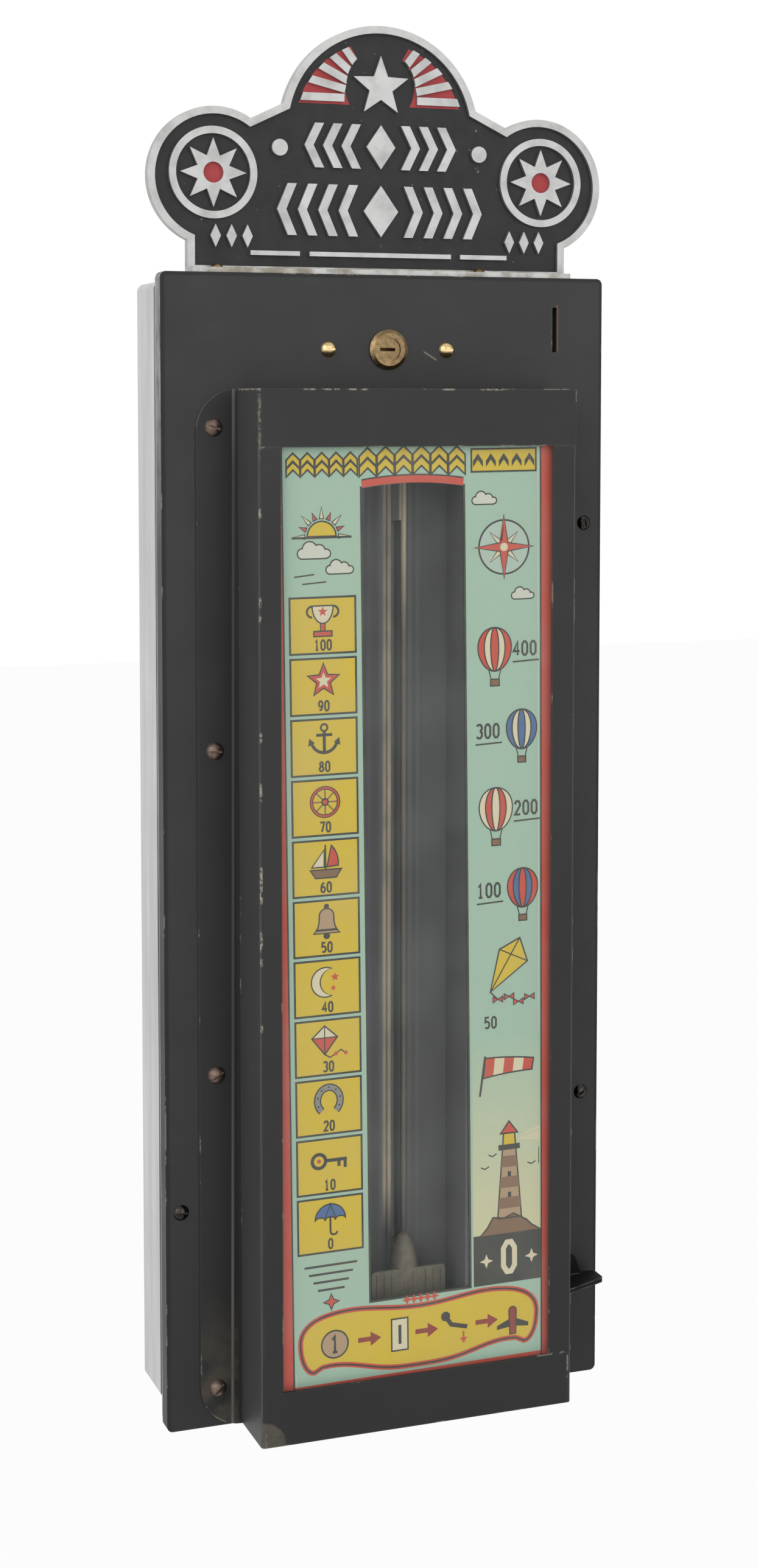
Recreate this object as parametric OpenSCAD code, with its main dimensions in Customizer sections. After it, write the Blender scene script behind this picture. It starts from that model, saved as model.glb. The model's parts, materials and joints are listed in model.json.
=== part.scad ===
// Wall-mounted penny strength tester: a sheet-steel box, a drop-down front with a
// window case, a cast crest, and a striker that throws a little aeroplane up a rod.
// Heights are measured from the bottom of the front panel and depths from its face
// (minus is towards the player). The last transform moves all of it to the frame of
// the part: the middle of the wall screws, on the wall.

/* [Front panel] */
// Width of the front panel
panel_w = 230; // [215:1:280]
// Height of the front panel
panel_h = 565; // [555:1:680]
// Sheet thickness of the panel and the box
sheet_t = 1.2; // [0.8:0.1:1.6]
// Depth of the panel's folded edge
panel_edge_d = 8.5; // [6:0.5:11]
// Radius of the panel's corners
panel_r = 3; // [2:0.5:5]

/* [Door frame and box] */
// Depth of the door frame behind the panel face
frame_d = 14.5; // [13:0.5:16]
// Sheet thickness of the door frame
frame_t = 1.5; // [1:0.1:1.8]
// Depth of the wall box
box_d = 31; // [28:1:60]
// How far the box sides lie inside the panel's edge
box_inset = 0.8; // [0.5:0.1:2]
// How far the box top lies below the panel's top
box_drop = 4.2; // [4:0.1:8]
// How far the box bottom lies above the panel's bottom
box_lift = 11; // [11:0.5:14]

/* [Window case] */
// Distance of the case's left wall from the panel's middle
case_left = 76.9; // [70:0.1:84]
// Distance of the case's right wall from the panel's middle
case_right = 85.9; // [84:0.1:90]
// Height of the case
case_h = 509.5; // [500:0.5:512]
// Depth of the case in front of the panel
case_d = 33.7; // [32:0.1:45]
// Sheet thickness of the case
case_t = 1.3; // [1:0.1:1.6]
// Width of the left front stile
stile_left_w = 10.8; // [8:0.1:14]
// Width of the right front stile
stile_right_w = 12.4; // [10:0.1:16]
// Height of the top cap's front
cap_top_h = 27.6; // [22:0.1:34]
// Height of the bottom cap's front
cap_bottom_h = 26.4; // [22:0.1:34]
// Width of the left mounting flange
flange_left_w = 21.1; // [18:0.1:25]
// Width of the right mounting flange
flange_right_w = 14.6; // [14:0.1:16]
// Thickness of the glass pane
glass_t = 2.4; // [2:0.1:3]
// Thickness of the printed card
card_t = 1.2; // [0.8:0.1:1.6]

/* [Track and indicator] */
// Middle of the track from the panel's middle
track_x = 4; // [2:0.5:6]
// Width of the card's opening over the track
opening_w = 53; // [48:0.5:54]
// Bottom of the card's opening
opening_bottom = 60; // [56:1:64]
// Top of the card's opening
opening_top = 461; // [450:1:466]
// Width of the slot that the indicator's stem runs in
slot_w = 5; // [4.5:0.1:6]
// Travel of the indicator
travel = 360; // [300:5:360]
// Radius of the guide rod
rod_r = 2.5; // [2:0.1:3]
// Depth of the guide rod's middle behind the panel face
rod_y = 8; // [7.5:0.1:8]
// Length of the indicator from nose to tail
plane_len = 31; // [28:1:34]
// Wing span of the indicator
plane_span = 39; // [34:1:42]

/* [Ratchet] */
// Pitch of the ratchet teeth
tooth_pitch = 4.5; // [4:0.5:6]
// Depth of the ratchet teeth
tooth_depth = 2.6; // [2:0.1:3]
// Rocking angle of the ratchet rail
rock_angle = 12; // [10:1:14]

/* [Striker] */
// Sideways place of the lever shaft
pivot_x = 72; // [70:0.5:72]
// Height of the lever shaft
pivot_z = 52; // [51:0.5:54]
// Radius of the lever shaft
shaft_r = 4; // [3.5:0.1:4.5]
// Stroke of the striker
stroke = 16; // [10:1:16]
// Width of the thumb plate, front to back
thumb_w = 22; // [16:1:26]
// Outer end of the thumb plate from the panel's middle
thumb_end = 112.5; // [108:0.5:120]

/* [Coin path] */
// Sideways place of the coin slot
coin_x = 89.1; // [88:0.1:92]
// Height of the coin slot's middle
coin_z = 539.2; // [530:0.1:540]
// Length of the coin slot
coin_slot_l = 22.4; // [21:0.1:26]
// Width of the coin slot
coin_slot_w = 2.6; // [2:0.1:3]

/* [Lock] */
// Height of the lock's middle
lock_z = 528.7; // [527:0.1:531]
// Radius of the lock's bezel
bezel_r = 9.8; // [9:0.1:11]
// Radius of the lock's body
lock_r = 8; // [7:0.1:8.5]
// Distance of the brass screws from the lock's middle
lock_screw_x = 30.8; // [24:0.1:34]

/* [Crest] */
// Radius of the middle dome
dome_r = 51.5; // [46:0.5:56]
// Radius of the side lobes
lobe_r = 33.5; // [30:0.5:36]
// Sideways place of the side lobes
lobe_x = 84.5; // [80:0.5:88]
// Width of the crest's foot
foot_w = 197; // [190:1:205]
// Width of the bright rim
rim_w = 3.6; // [3:0.1:5]

/* [Wall screws] */
// Spacing of the wall screws across
wall_dx = 160; // [120:5:180]
// Spacing of the wall screws up and down
wall_dz = 440; // [380:5:480]
// Radius of the wall screw holes
wall_hole_r = 2.75; // [2.5:0.05:4]

/* [Hidden] */
$fn = 64;

gap = 0.3;
fit = 0.05;
total_d = frame_d + 0.5 + box_d;
origin_z = panel_h / 2 + (box_lift - box_drop) / 2;
box_half = panel_w / 2 - box_inset;
box_y = frame_d + 0.5;
box_top = panel_h - box_drop;
frame_half = panel_w / 2 - sheet_t - 0.1;
frame_top = panel_h - sheet_t - 0.1;

black = [0.16, 0.16, 0.165];
silver = [0.76, 0.76, 0.77];
steel = [0.62, 0.62, 0.64];
brass = [0.72, 0.56, 0.30];

flange_screw_z = [19.4, 176, 335, 491];
flange_screw_left = -case_left - 12.5;
flange_screw_right = case_right + 10;
panel_screw_left = [-panel_w / 2 + 7.7, 109.2];
chute_screw_x = panel_w / 2 - 9.2;
chute_screw_z = [148.4, 442];
nut_t = 2.6;
screw_r = 2;

pane_y = -case_d + case_t + 0.2;
card_y = pane_y + glass_t + 0.2;
retainer_y = card_y + card_t + 0.2;
window_right = case_right - stile_right_w;
window_left = -case_left + stile_left_w;
window_top = case_h - cap_top_h;

trough_t = 1;
carriage_z = 52.3;
carriage_h = 30;
carriage_half = 7.5;
stem_z = 76;
foot_z = 60;
plane_y = -12.5;
plane_z = 70;
plane_r = 7;
plane_tail = 10.5;
wing_chord = 14.6;
slot_bottom = stem_z - 6;
slot_top = stem_z + travel + 9;

rail_x = track_x + 22;
rail_tip = 12.8;
rail_bottom = 64;
catch_z = 74;
rail_teeth = floor((travel + 16) / tooth_pitch);
bracket_top_z = carriage_z + carriage_h + travel + 9.7;
trip_z = bracket_top_z - 8;

kicker_y = 13.5;
kicker_t = 3;
head_r = 4;
head_dx = track_x - pivot_x;
head_dz = foot_z - 0.8 - head_r - pivot_z;
drive_y = 10;
drive_t = 2.5;
coin_t = 1.52;
finger_x = coin_x - coin_t / 2 - 0.2;
spring_x = pivot_x + 8;
spring_y = 6;
spring_low = pivot_z + 8;
spring_high = pivot_z + 49;
pin_r = 1.4;
bridge_y = 21;

chute_in = 3.2;
chute_t = 0.9;
chute_bottom = 92;
chute_d = 22.4;

hinge_y = box_y + 2.5;
hinge_z = 5.5;
knuckle_r = 2.8;
hinge_len = 180;
knuckles = 5;
knuckle_len = hinge_len / knuckles;

crest_y = 10;
crest_t = 5;
recess_d = 2;
lip_t = 2.5;
lip_y = 2;
crest_bottom = panel_h + lip_t;
dome_z = panel_h + 70;
lobe_z = panel_h + 46;

cam_y = 20.7;
cam_t = 2;
cam_l = 26;

// Places its children, drawn from the panel's bottom and face, in the frame of the part
module in_frame() {
    translate([0, -total_d, -origin_z]) children();
}

// A plate drawn as x and z, from depth y0 to depth y1
module plate(y0, y1) {
    translate([0, y1, 0]) rotate([90, 0, 0]) linear_extrude(y1 - y0) children();
}

// A strip drawn as y and z, from x0 to x1
module strip(x0, x1) {
    translate([x0, 0, 0]) rotate([90, 0, 90]) linear_extrude(x1 - x0) children();
}

// Turns a part drawn along +Z so that it runs along +Y from the point x, y, z
module inward(x, y, z) {
    translate([x, y, z]) rotate([-90, 0, 0]) children();
}

// A bar from x, y0, z to depth y1
module bar_y(x, z, y0, y1, r) {
    inward(x, y0, z) cylinder(h = y1 - y0, r = r);
}

module rounded(w, h, r) {
    translate([r, 0]) square([w - 2 * r, h]);
    translate([0, r]) square([w, h - 2 * r]);
    for (x = [r, w - r], y = [r, h - r]) translate([x, y]) circle(r);
}

// A folded ring of sheet round a plate of half-width half, between heights low and high
module ring_2d(half, low, high, r, t) {
    difference() {
        translate([-half, low]) rounded(2 * half, high - low, r);
        translate([-half + t, low + t])
            rounded(2 * (half - t), high - low - 2 * t, max(r - t, 0.3));
    }
}

// Slotted round-head screw along +Z, with its seat at the origin
module round_screw(r, h, shank, length) {
    cap_r = (r * r + h * h) / (2 * h);
    difference() {
        translate([0, 0, -h]) mirror([0, 0, 1]) translate([0, 0, -h]) rotate_extrude()
            intersection() {
                translate([0, h - cap_r]) circle(cap_r);
                square([r, h]);
            }
        translate([-r, -0.5, -h - 0.1]) cube([2 * r, 1, 0.45 * h + 0.1]);
    }
    cylinder(h = length, r = shank);
}

module hex_nut(r_in, across, t) {
    difference() {
        rotate([0, 0, 30]) cylinder(h = t, r = across / sqrt(3), $fn = 6);
        translate([0, 0, -1]) cylinder(h = t + 2, r = r_in);
    }
}

module back_box() {
    color(silver) in_frame() difference() {
        plate(box_y, total_d) translate([-box_half, box_lift])
            rounded(2 * box_half, box_top - box_lift, 4);
        plate(box_y - 1, total_d - sheet_t) translate([-box_half + sheet_t, box_lift + sheet_t])
            rounded(2 * (box_half - sheet_t), box_top - box_lift - 2 * sheet_t, 3);
        for (x = [-wall_dx / 2, wall_dx / 2], z = [-wall_dz / 2, wall_dz / 2])
            bar_y(x, origin_z + z, total_d - 5, total_d + 1, wall_hole_r);
    }
}

// An angle under the box top that the cam turns up behind
module lock_keeper() {
    keeper_top = box_top - sheet_t;
    color(steel) in_frame() strip(-20, 20) {
        translate([cam_y - 3.2, lock_z + 15]) square([1.6, keeper_top - lock_z - 15]);
        translate([cam_y - 3.2, keeper_top - 1.6]) square([16, 1.6]);
    }
}

// Knuckles of one leaf: every second length of the hinge, starting at first
module knuckle_row(first) {
    for (i = [first : 2 : knuckles - 1])
        translate([-hinge_len / 2 + i * knuckle_len + gap, hinge_y, hinge_z]) rotate([0, 90, 0])
            cylinder(h = knuckle_len - 2 * gap, r = knuckle_r);
}

module hinge_bore() {
    translate([-hinge_len, hinge_y, hinge_z]) rotate([0, 90, 0])
        cylinder(h = 2 * hinge_len, r = 1.25 + fit);
}

module hinge_box_leaf() {
    color(steel) in_frame() difference() {
        union() {
            knuckle_row(1);
            for (i = [1 : 2 : knuckles - 1])
                translate([-hinge_len / 2 + i * knuckle_len + gap, hinge_y + 1.4, hinge_z])
                    cube([knuckle_len - 2 * gap, 1.4, box_lift - hinge_z]);
            translate([-hinge_len / 2, hinge_y + 1.4, box_lift - 1.1]) cube([hinge_len, 15, 1.1]);
        }
        hinge_bore();
    }
}

module hinge_door_leaf() {
    floor_z = sheet_t + 0.1 + frame_t;
    color(steel) in_frame() difference() {
        union() {
            knuckle_row(0);
            for (i = [0 : 2 : knuckles - 1])
                translate([-hinge_len / 2 + i * knuckle_len + gap, hinge_y - 4, floor_z])
                    cube([knuckle_len - 2 * gap, 4, 1.1]);
            translate([-hinge_len / 2, 3, floor_z])
                cube([hinge_len, hinge_y - knuckle_r - 0.5 - 3, 1.1]);
        }
        hinge_bore();
    }
}

module hinge_pin() {
    color(steel) in_frame() translate([-hinge_len / 2 - 1, hinge_y, hinge_z]) rotate([0, 90, 0])
        cylinder(h = hinge_len + 2, r = 1.25);
}

// A loose tin tray on the box floor that catches the coins
module cash_tray() {
    x0 = -70;
    x1 = 108;
    y0 = 24.5;
    y1 = total_d - sheet_t - gap;
    z0 = box_lift + sheet_t;
    color(silver) in_frame() difference() {
        translate([x0, y0, z0]) cube([x1 - x0, y1 - y0, 34]);
        translate([x0 + 0.8, y0 + 0.8, z0 + 0.8]) cube([x1 - x0 - 1.6, y1 - y0 - 1.6, 40]);
        translate([x0 - 1, y0 - 1, z0 + 16]) cube([x1 - x0 + 2, 2, 40]);
    }
}

module front_panel() {
    half = panel_w / 2;
    color(black) in_frame() difference() {
        union() {
            plate(0, sheet_t) translate([-half, 0]) rounded(panel_w, panel_h, panel_r);
            plate(0, panel_edge_d) ring_2d(half, 0, panel_h, panel_r, sheet_t);
        }
        translate([track_x - slot_w / 2 - 0.5, -1, slot_bottom])
            cube([slot_w + 1, sheet_t + 2, slot_top - slot_bottom]);
        translate([coin_x - coin_slot_w / 2, -1, coin_z - coin_slot_l / 2])
            cube([coin_slot_w, sheet_t + 2, coin_slot_l]);
        bar_y(0, lock_z, -1, 3, lock_r + 0.15);
        bar_y(pivot_x, pivot_z, -1, 3, shaft_r + 3 + fit);
        for (x = [-lock_screw_x, lock_screw_x]) bar_y(x, lock_z, -1, 3, screw_r + 0.15);
        for (z = flange_screw_z, x = [flange_screw_left, flange_screw_right])
            bar_y(x, z, -1, 3, screw_r + 0.15);
        for (z = chute_screw_z) bar_y(chute_screw_x, z, -1, 3, screw_r + 0.15);
        bar_y(panel_screw_left[0], panel_screw_left[1], -1, 3, screw_r + 0.15);
        crest_screw_holes();
    }
}

// The bright frame behind the panel, with an ear for the panel's left screw
module door_frame() {
    ear_x = -frame_half + frame_t;
    color(silver) in_frame() difference() {
        union() {
            plate(sheet_t, frame_d) ring_2d(frame_half, sheet_t + 0.1, frame_top, panel_r - 1, frame_t);
            translate([ear_x - 0.5, sheet_t, panel_screw_left[1] - 8]) cube([11, 1.5, 16]);
        }
        bar_y(panel_screw_left[0], panel_screw_left[1], 0, 5, screw_r + 0.15);
        crest_screw_holes();
    }
}

// Half-depth folds of the case seen from above: a flange, a wall and a front stile
module angle_section(flange, stile) {
    translate([-flange, -case_t]) square([flange + case_t, case_t]);
    translate([0, -case_d + 2]) square([case_t, case_d - 2]);
    translate([2, -case_d]) square([stile - 2, case_t]);
    intersection() {
        difference() {
            translate([2, -case_d + 2]) circle(2);
            translate([2, -case_d + 2]) circle(2 - case_t);
        }
        translate([0, -case_d]) square([2, 2]);
    }
}

// One side of the case, with its wall at x = 0 and its flange on the left.
// The stile stops under the top cap and above the bottom cap.
module case_angle(flange, stile, corner) {
    difference() {
        linear_extrude(case_h) angle_section(flange, stile);
        translate([-flange - 1, -case_t - 1, -1]) cube([corner + 1, case_t + 2, corner + 1]);
        translate([-flange - 1, -case_t - 1, case_h - corner])
            cube([corner + 1, case_t + 2, corner + 1]);
        translate([-1, -case_d - 1, window_top]) cube([stile + 2, 3, case_h]);
        translate([2, -case_d - 1, -1]) cube([stile + 2, case_t + 2, cap_bottom_h + 1]);
    }
    for (z = [corner, case_h - corner]) intersection() {
        translate([-flange + corner, 0, z]) rotate([90, 0, 0]) cylinder(h = case_t, r = corner);
        translate([-flange, -case_t, z < corner + 1 ? 0 : z]) cube([corner, case_t, corner]);
    }
}

module case_left_angle() {
    color(black) in_frame() difference() {
        translate([-case_left, 0, 0])
            case_angle(flange_left_w, stile_left_w, flange_left_w - 0.5);
        for (z = flange_screw_z) bar_y(flange_screw_left, z, -3, 1, screw_r + 0.15);
    }
}

module case_right_angle() {
    color(black) in_frame() difference() {
        translate([case_right, 0, 0]) mirror([1, 0, 0])
            case_angle(flange_right_w, stile_right_w, flange_right_w - 0.5);
        for (z = flange_screw_z) bar_y(flange_screw_right, z, -3, 1, screw_r + 0.15);
        translate([case_right - 5, -7.5, pivot_z - 11]) cube([10, 6, 34]);
    }
}

module case_top_cap() {
    wide = case_left + case_right;
    color(black) in_frame() {
        translate([-case_left, -case_d, window_top]) cube([wide, case_t, cap_top_h]);
        translate([-case_left + case_t, -case_d + case_t, case_h - case_t])
            cube([wide - 2 * case_t, case_d - case_t, case_t]);
        translate([-case_left + case_t, -case_t, case_h - 14])
            cube([wide - 2 * case_t, case_t, 14 - case_t]);
    }
}

module case_bottom_cap() {
    wide = case_left + case_right - 4;
    color(black) in_frame() {
        translate([-case_left + 2, -case_d, 0]) cube([wide, case_t, cap_bottom_h - 0.1]);
        translate([-case_left + 2, -case_d + case_t, 0]) cube([wide, case_d - case_t, case_t]);
        translate([-case_left + 2, -case_t, case_t]) cube([wide, case_t, 10]);
    }
}

module glass_pane() {
    color([0.8, 0.9, 0.9, 0.3]) in_frame()
        translate([window_left - 6, pane_y, cap_bottom_h - 6])
            cube([window_right - window_left + 12, glass_t, window_top - cap_bottom_h + 12]);
}

module art_card() {
    color([0.62, 0.76, 0.66]) in_frame() difference() {
        translate([window_left - 6, card_y, cap_bottom_h - 6])
            cube([window_right - window_left + 12, card_t, window_top - cap_bottom_h + 12]);
        plate(card_y - 1, card_y + card_t + 1) intersection() {
            translate([track_x - opening_w / 2, opening_bottom])
                square([opening_w, opening_top - opening_bottom]);
            translate([track_x, opening_top - 140]) circle(140, $fn = 160);
            translate([track_x, 0]) union() {
                translate([-opening_w / 2, 0]) square([opening_w, opening_top - 10]);
                translate([0, opening_top - 140]) circle(140, $fn = 160);
            }
        }
        plate(card_y - 1, card_y + card_t + 1)
            translate([track_x - opening_w / 2, opening_bottom])
                square([opening_w, opening_top - opening_bottom - 12]);
    }
}

// Two strips welded inside the case walls; they press the card and the glass forwards
module card_retainers() {
    color(steel) in_frame() {
        strip_z = cap_bottom_h + 2;
        long = window_top - cap_bottom_h - 4;
        translate([-case_left + case_t, retainer_y, strip_z]) cube([9, 1, long]);
        translate([-case_left + case_t, retainer_y + 1, strip_z]) cube([1, 9, long]);
        translate([case_right - case_t - 9, retainer_y, strip_z]) cube([9, 1, long]);
        translate([case_right - case_t - 1, retainer_y + 1, strip_z]) cube([1, 9, long]);
    }
}

// Pressed trough behind the card: side walls, back, turned edges and two raised lips
module track_trough() {
    half = opening_w / 2 + 1;
    low = 40;
    high = opening_top + 8;
    front = retainer_y;
    lip_r = 1.5;
    color([0.3, 0.3, 0.3]) in_frame() difference() {
        union() {
            translate([0, 0, low]) linear_extrude(high - low) {
                translate([track_x - half, -trough_t]) square([2 * half, trough_t]);
                for (side = [-1, 1]) {
                    translate([track_x + side * (half - trough_t / 2) - trough_t / 2, front])
                        square([trough_t, -front]);
                    translate([track_x + side * (half + 2.5) - 3, front]) square([6, trough_t]);
                }
            }
            for (side = [-1, 1]) translate([track_x + side * (slot_w / 2 + lip_r), -trough_t, low])
                cylinder(h = high - low, r = lip_r);
            for (z = [low, high - trough_t]) translate([track_x - half, front, z])
                cube([2 * half, -front, trough_t]);
        }
        translate([track_x - slot_w / 2, -4, slot_bottom])
            cube([slot_w, 5, slot_top - slot_bottom]);
        translate([track_x - slot_w / 2 - 4, 0, low - 1]) cube([slot_w + 8, 3, high - low + 2]);
    }
}

// Outline of the crest, drawn in by the amount inset
module crest_2d(inset) {
    translate([0, dome_z]) circle(dome_r - inset, $fn = 128);
    for (side = [-1, 1]) {
        translate([side * lobe_x, lobe_z]) circle(lobe_r - inset, $fn = 96);
        polygon([[side * 40, dome_z - 30], [side * 40, dome_z + 17 - 1.1 * inset],
            [side * 69, dome_z + 3.2 - 1.1 * inset], [side * 69, dome_z - 30]]);
    }
    translate([-foot_w / 2 + inset, crest_bottom - lip_t + inset])
        square([foot_w - 2 * inset, lobe_z - crest_bottom + lip_t - inset]);
    translate([-lobe_x, lobe_z - 12]) square([2 * lobe_x, 30]);
}

module star_2d(points, outer, inner) {
    polygon([for (i = [0 : 2 * points - 1]) let (r = i % 2 == 0 ? outer : inner)
        [r * sin(180 * i / points), r * cos(180 * i / points)]]);
}

// Row of chevrons to both sides of a lozenge, between two heights
module chevrons_2d(low, high, half, first, step, count) {
    mid = (low + high) / 2;
    polygon([[0, low], [half, mid], [0, high], [-half, mid]]);
    for (side = [-1, 1], i = [0 : count - 1]) scale([side, 1]) translate([first + i * step, 0])
        polygon([[0, low], [4.6, low], [10, mid], [4.6, high], [0, high], [5.4, mid]]);
}

// Raised decoration: a star with rays, two rows of chevrons, two rosettes and a foot line
module crest_art_2d() {
    star_z = dome_z + 22;
    translate([0, star_z]) star_2d(5, 15, 6.2);
    difference() {
        intersection() {
            for (side = [-1, 1], i = [0 : 4])
                translate([0, star_z - 6]) rotate(side * (38 + 13 * i))
                    translate([-1.9, 19]) square([3.8, 40]);
            translate([0, dome_z]) circle(dome_r - rim_w - 4);
            translate([-60, dome_z + 7]) square([120, 60]);
        }
        translate([0, star_z]) circle(18);
    }
    chevrons_2d(dome_z - 18, dome_z + 3.5, 7.5, 10.5, 9.5, 3);
    chevrons_2d(dome_z - 51, dome_z - 26, 9, 12, 10.5, 4);
    for (side = [-1, 1]) {
        translate([side * 52, dome_z - 9]) circle(4);
        translate([side * (lobe_x + 1), lobe_z + 2]) {
            difference() {
                circle(22);
                circle(18.5);
            }
            difference() {
                star_2d(8, 16.5, 8.5);
                circle(5);
            }
            for (x = [-17, -9, -1]) translate([side * x, -30])
                polygon([[0, -5.5], [2.6, 0], [0, 5.5], [-2.6, 0]]);
        }
    }
    for (x = [[-67, -42], [-37, 37], [42, 67]])
        translate([x[0], panel_h + 9]) square([x[1] - x[0], 2.2]);
}

crest_screw_x = [-85.2, 50.4];
crest_screw_y = lip_y + 4;

module crest_screw_holes() {
    for (x = crest_screw_x) translate([x, crest_screw_y, panel_h - 6]) cylinder(h = 12, r = 1.65);
}

module marquee() {
    color([0.72, 0.72, 0.74]) in_frame() {
        difference() {
            plate(crest_y, crest_y + crest_t) crest_2d(0);
            difference() {
                plate(crest_y - 1, crest_y + recess_d) crest_2d(rim_w);
                plate(crest_y - 2, crest_y + recess_d + 1) crest_art_2d();
            }
        }
        difference() {
            translate([-foot_w / 2, lip_y, panel_h]) cube([foot_w, crest_y - lip_y, lip_t]);
            crest_screw_holes();
        }
    }
}

module marquee_screws() {
    color(brass) in_frame() for (x = crest_screw_x)
        translate([x, crest_screw_y, crest_bottom]) rotate([180, 0, 0])
            round_screw(3, 2, 1.5, 9);
}

module lock_body() {
    color(brass) in_frame() difference() {
        union() {
            inward(0, -2.2, lock_z) rotate_extrude()
                polygon([[0, 0], [bezel_r - 1.8, 0], [bezel_r, 1.2], [bezel_r, 2.2], [0, 2.2]]);
            bar_y(0, lock_z, -0.5, 20, lock_r);
        }
        bar_y(0, lock_z, -5, 25, 5.8);
    }
}

module lock_plate() {
    color(steel) in_frame() difference() {
        plate(sheet_t, sheet_t + 1.5) translate([-38, lock_z - 14]) rounded(76, 28, 4);
        bar_y(0, lock_z, 0, 5, lock_r + 0.15);
        for (x = [-lock_screw_x, lock_screw_x]) bar_y(x, lock_z, 0, 5, screw_r + 0.15);
    }
}

module lock_nut() {
    color(brass) in_frame() inward(0, sheet_t + 1.5, lock_z) hex_nut(lock_r + fit, 21, 3);
}

module lock_screws() {
    color(brass) in_frame() for (x = [-lock_screw_x, lock_screw_x])
        inward(x, 0, lock_z) round_screw(4, 2.6, screw_r, sheet_t + 1.5 + nut_t + 1);
}

module flange_screws() {
    color([0.42, 0.35, 0.30]) in_frame()
        for (z = flange_screw_z, x = [flange_screw_left, flange_screw_right])
            inward(x, -case_t, z) rotate([0, 0, z * 7]) round_screw(4.4, 2.9, screw_r, case_t + sheet_t + nut_t + 1);
}

module panel_screws() {
    color([0.3, 0.3, 0.31]) in_frame() {
        inward(panel_screw_left[0], 0, panel_screw_left[1])
            round_screw(3.9, 2.3, screw_r, sheet_t + 1.5 + nut_t + 1);
        for (z = chute_screw_z) inward(chute_screw_x, 0, z) rotate([0, 0, z])
            round_screw(3.7, 2.1, screw_r, sheet_t + chute_t + nut_t + 1);
    }
}

module panel_nuts() {
    color(steel) in_frame() {
        for (z = flange_screw_z, x = [flange_screw_left, flange_screw_right])
            inward(x, sheet_t, z) hex_nut(screw_r + fit, 7, nut_t);
        for (x = [-lock_screw_x, lock_screw_x])
            inward(x, sheet_t + 1.5, lock_z) hex_nut(screw_r + fit, 7, nut_t);
        for (z = chute_screw_z)
            inward(chute_screw_x, sheet_t + chute_t, z) hex_nut(screw_r + fit, 7, nut_t);
        inward(panel_screw_left[0], sheet_t + 1.5, panel_screw_left[1])
            hex_nut(screw_r + fit, 7, nut_t);
    }
}

// Upright channel for the coin, with two tabs and a window for the trip arm
module coin_chute() {
    outer = chute_in + 2 * chute_t;
    top = coin_z + coin_slot_l / 2 + 2;
    color(steel) in_frame() difference() {
        union() {
            translate([coin_x - outer / 2, sheet_t, chute_bottom])
                cube([outer, chute_d + chute_t, top - chute_bottom]);
            for (z = chute_screw_z) translate([coin_x, sheet_t, z - 7])
                cube([chute_screw_x + 5 - coin_x, chute_t, 14]);
        }
        translate([coin_x - chute_in / 2, sheet_t - 1, chute_bottom - 1])
            cube([chute_in, chute_d + 1, top - chute_bottom + 1 - chute_t]);
        translate([coin_x - outer / 2 - 1, sheet_t + 2, trip_z - 2])
            cube([outer - chute_t - 0.5 + 1, chute_d + 5, 5.5]);
        for (z = chute_screw_z) bar_y(chute_screw_x, z, 0, 5, screw_r + 0.15);
    }
}

// Sloping sheet that sends the coin back into the tray
module coin_deflector() {
    color(steel) in_frame() strip(coin_x - 10, coin_x + 18) {
        polygon([[sheet_t, 50], [sheet_t, 41], [22.6, 31], [22.6, 32], [sheet_t + 1, 42], [sheet_t + 1, 50]]);
    }
}

module guide_rod() {
    color(brass) in_frame() translate([track_x, rod_y, 42])
        cylinder(h = bracket_top_z + 4 - 42, r = rod_r);
}

// Two folded brackets that hold the guide rod and the ratchet shaft
module rod_brackets() {
    wide = rail_x + 5 - track_x + 6;
    color(steel) in_frame() for (z = [44, bracket_top_z]) difference() {
        union() {
            translate([track_x - 6, sheet_t, z]) cube([wide, 11.6, 2]);
            translate([track_x - 6, sheet_t, z > 100 ? z : z - 12]) cube([wide, 1.4, 14]);
        }
        translate([track_x, rod_y, z - 1]) cylinder(h = 4, r = rod_r + fit);
        translate([rail_x, rod_y, z - 1]) cylinder(h = 4, r = 2 + fit);
    }
}

module rod_buffers() {
    color([0.12, 0.12, 0.12]) in_frame()
        for (span = [[46, carriage_z - gap], [bracket_top_z - 8, bracket_top_z]])
            translate([track_x, rod_y, span[0]]) difference() {
                cylinder(h = span[1] - span[0], r = 5.2);
                translate([0, 0, -1]) cylinder(h = 20, r = rod_r + 0.1);
            }
}

module shaft_bush() {
    color(brass) in_frame() difference() {
        union() {
            bar_y(pivot_x, pivot_z, -2.5, 0, shaft_r + 6);
            bar_y(pivot_x, pivot_z, -1, 8, shaft_r + 3);
        }
        bar_y(pivot_x, pivot_z, -5, 10, shaft_r + fit);
    }
}

// Strap that carries the rear end of the lever shaft
module shaft_bridge() {
    low = pivot_z - 28;
    high = pivot_z + 38;
    color(steel) in_frame() difference() {
        union() {
            strip(pivot_x - 8, pivot_x + 3) {
                translate([sheet_t, low]) square([bridge_y + 1.5 - sheet_t, 1.5]);
                translate([sheet_t, high - 1.5]) square([bridge_y + 1.5 - sheet_t, 1.5]);
                translate([sheet_t, low - 9]) square([1.5, 10]);
                translate([sheet_t, high - 1]) square([1.5, 10]);
                translate([bridge_y, low]) square([1.5, high - low]);
            }
            bar_y(pivot_x, pivot_z, bridge_y, bridge_y + 1.5, 7);
        }
        bar_y(pivot_x, pivot_z, bridge_y - 1, bridge_y + 3, 3 + fit);
    }
}

module spring_post() {
    color(steel) in_frame() {
        bar_y(spring_x, spring_high, sheet_t, spring_y + 2.2, pin_r);
        bar_y(spring_x, spring_high, spring_y + 2.2, spring_y + 3, 2.4);
    }
}

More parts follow.
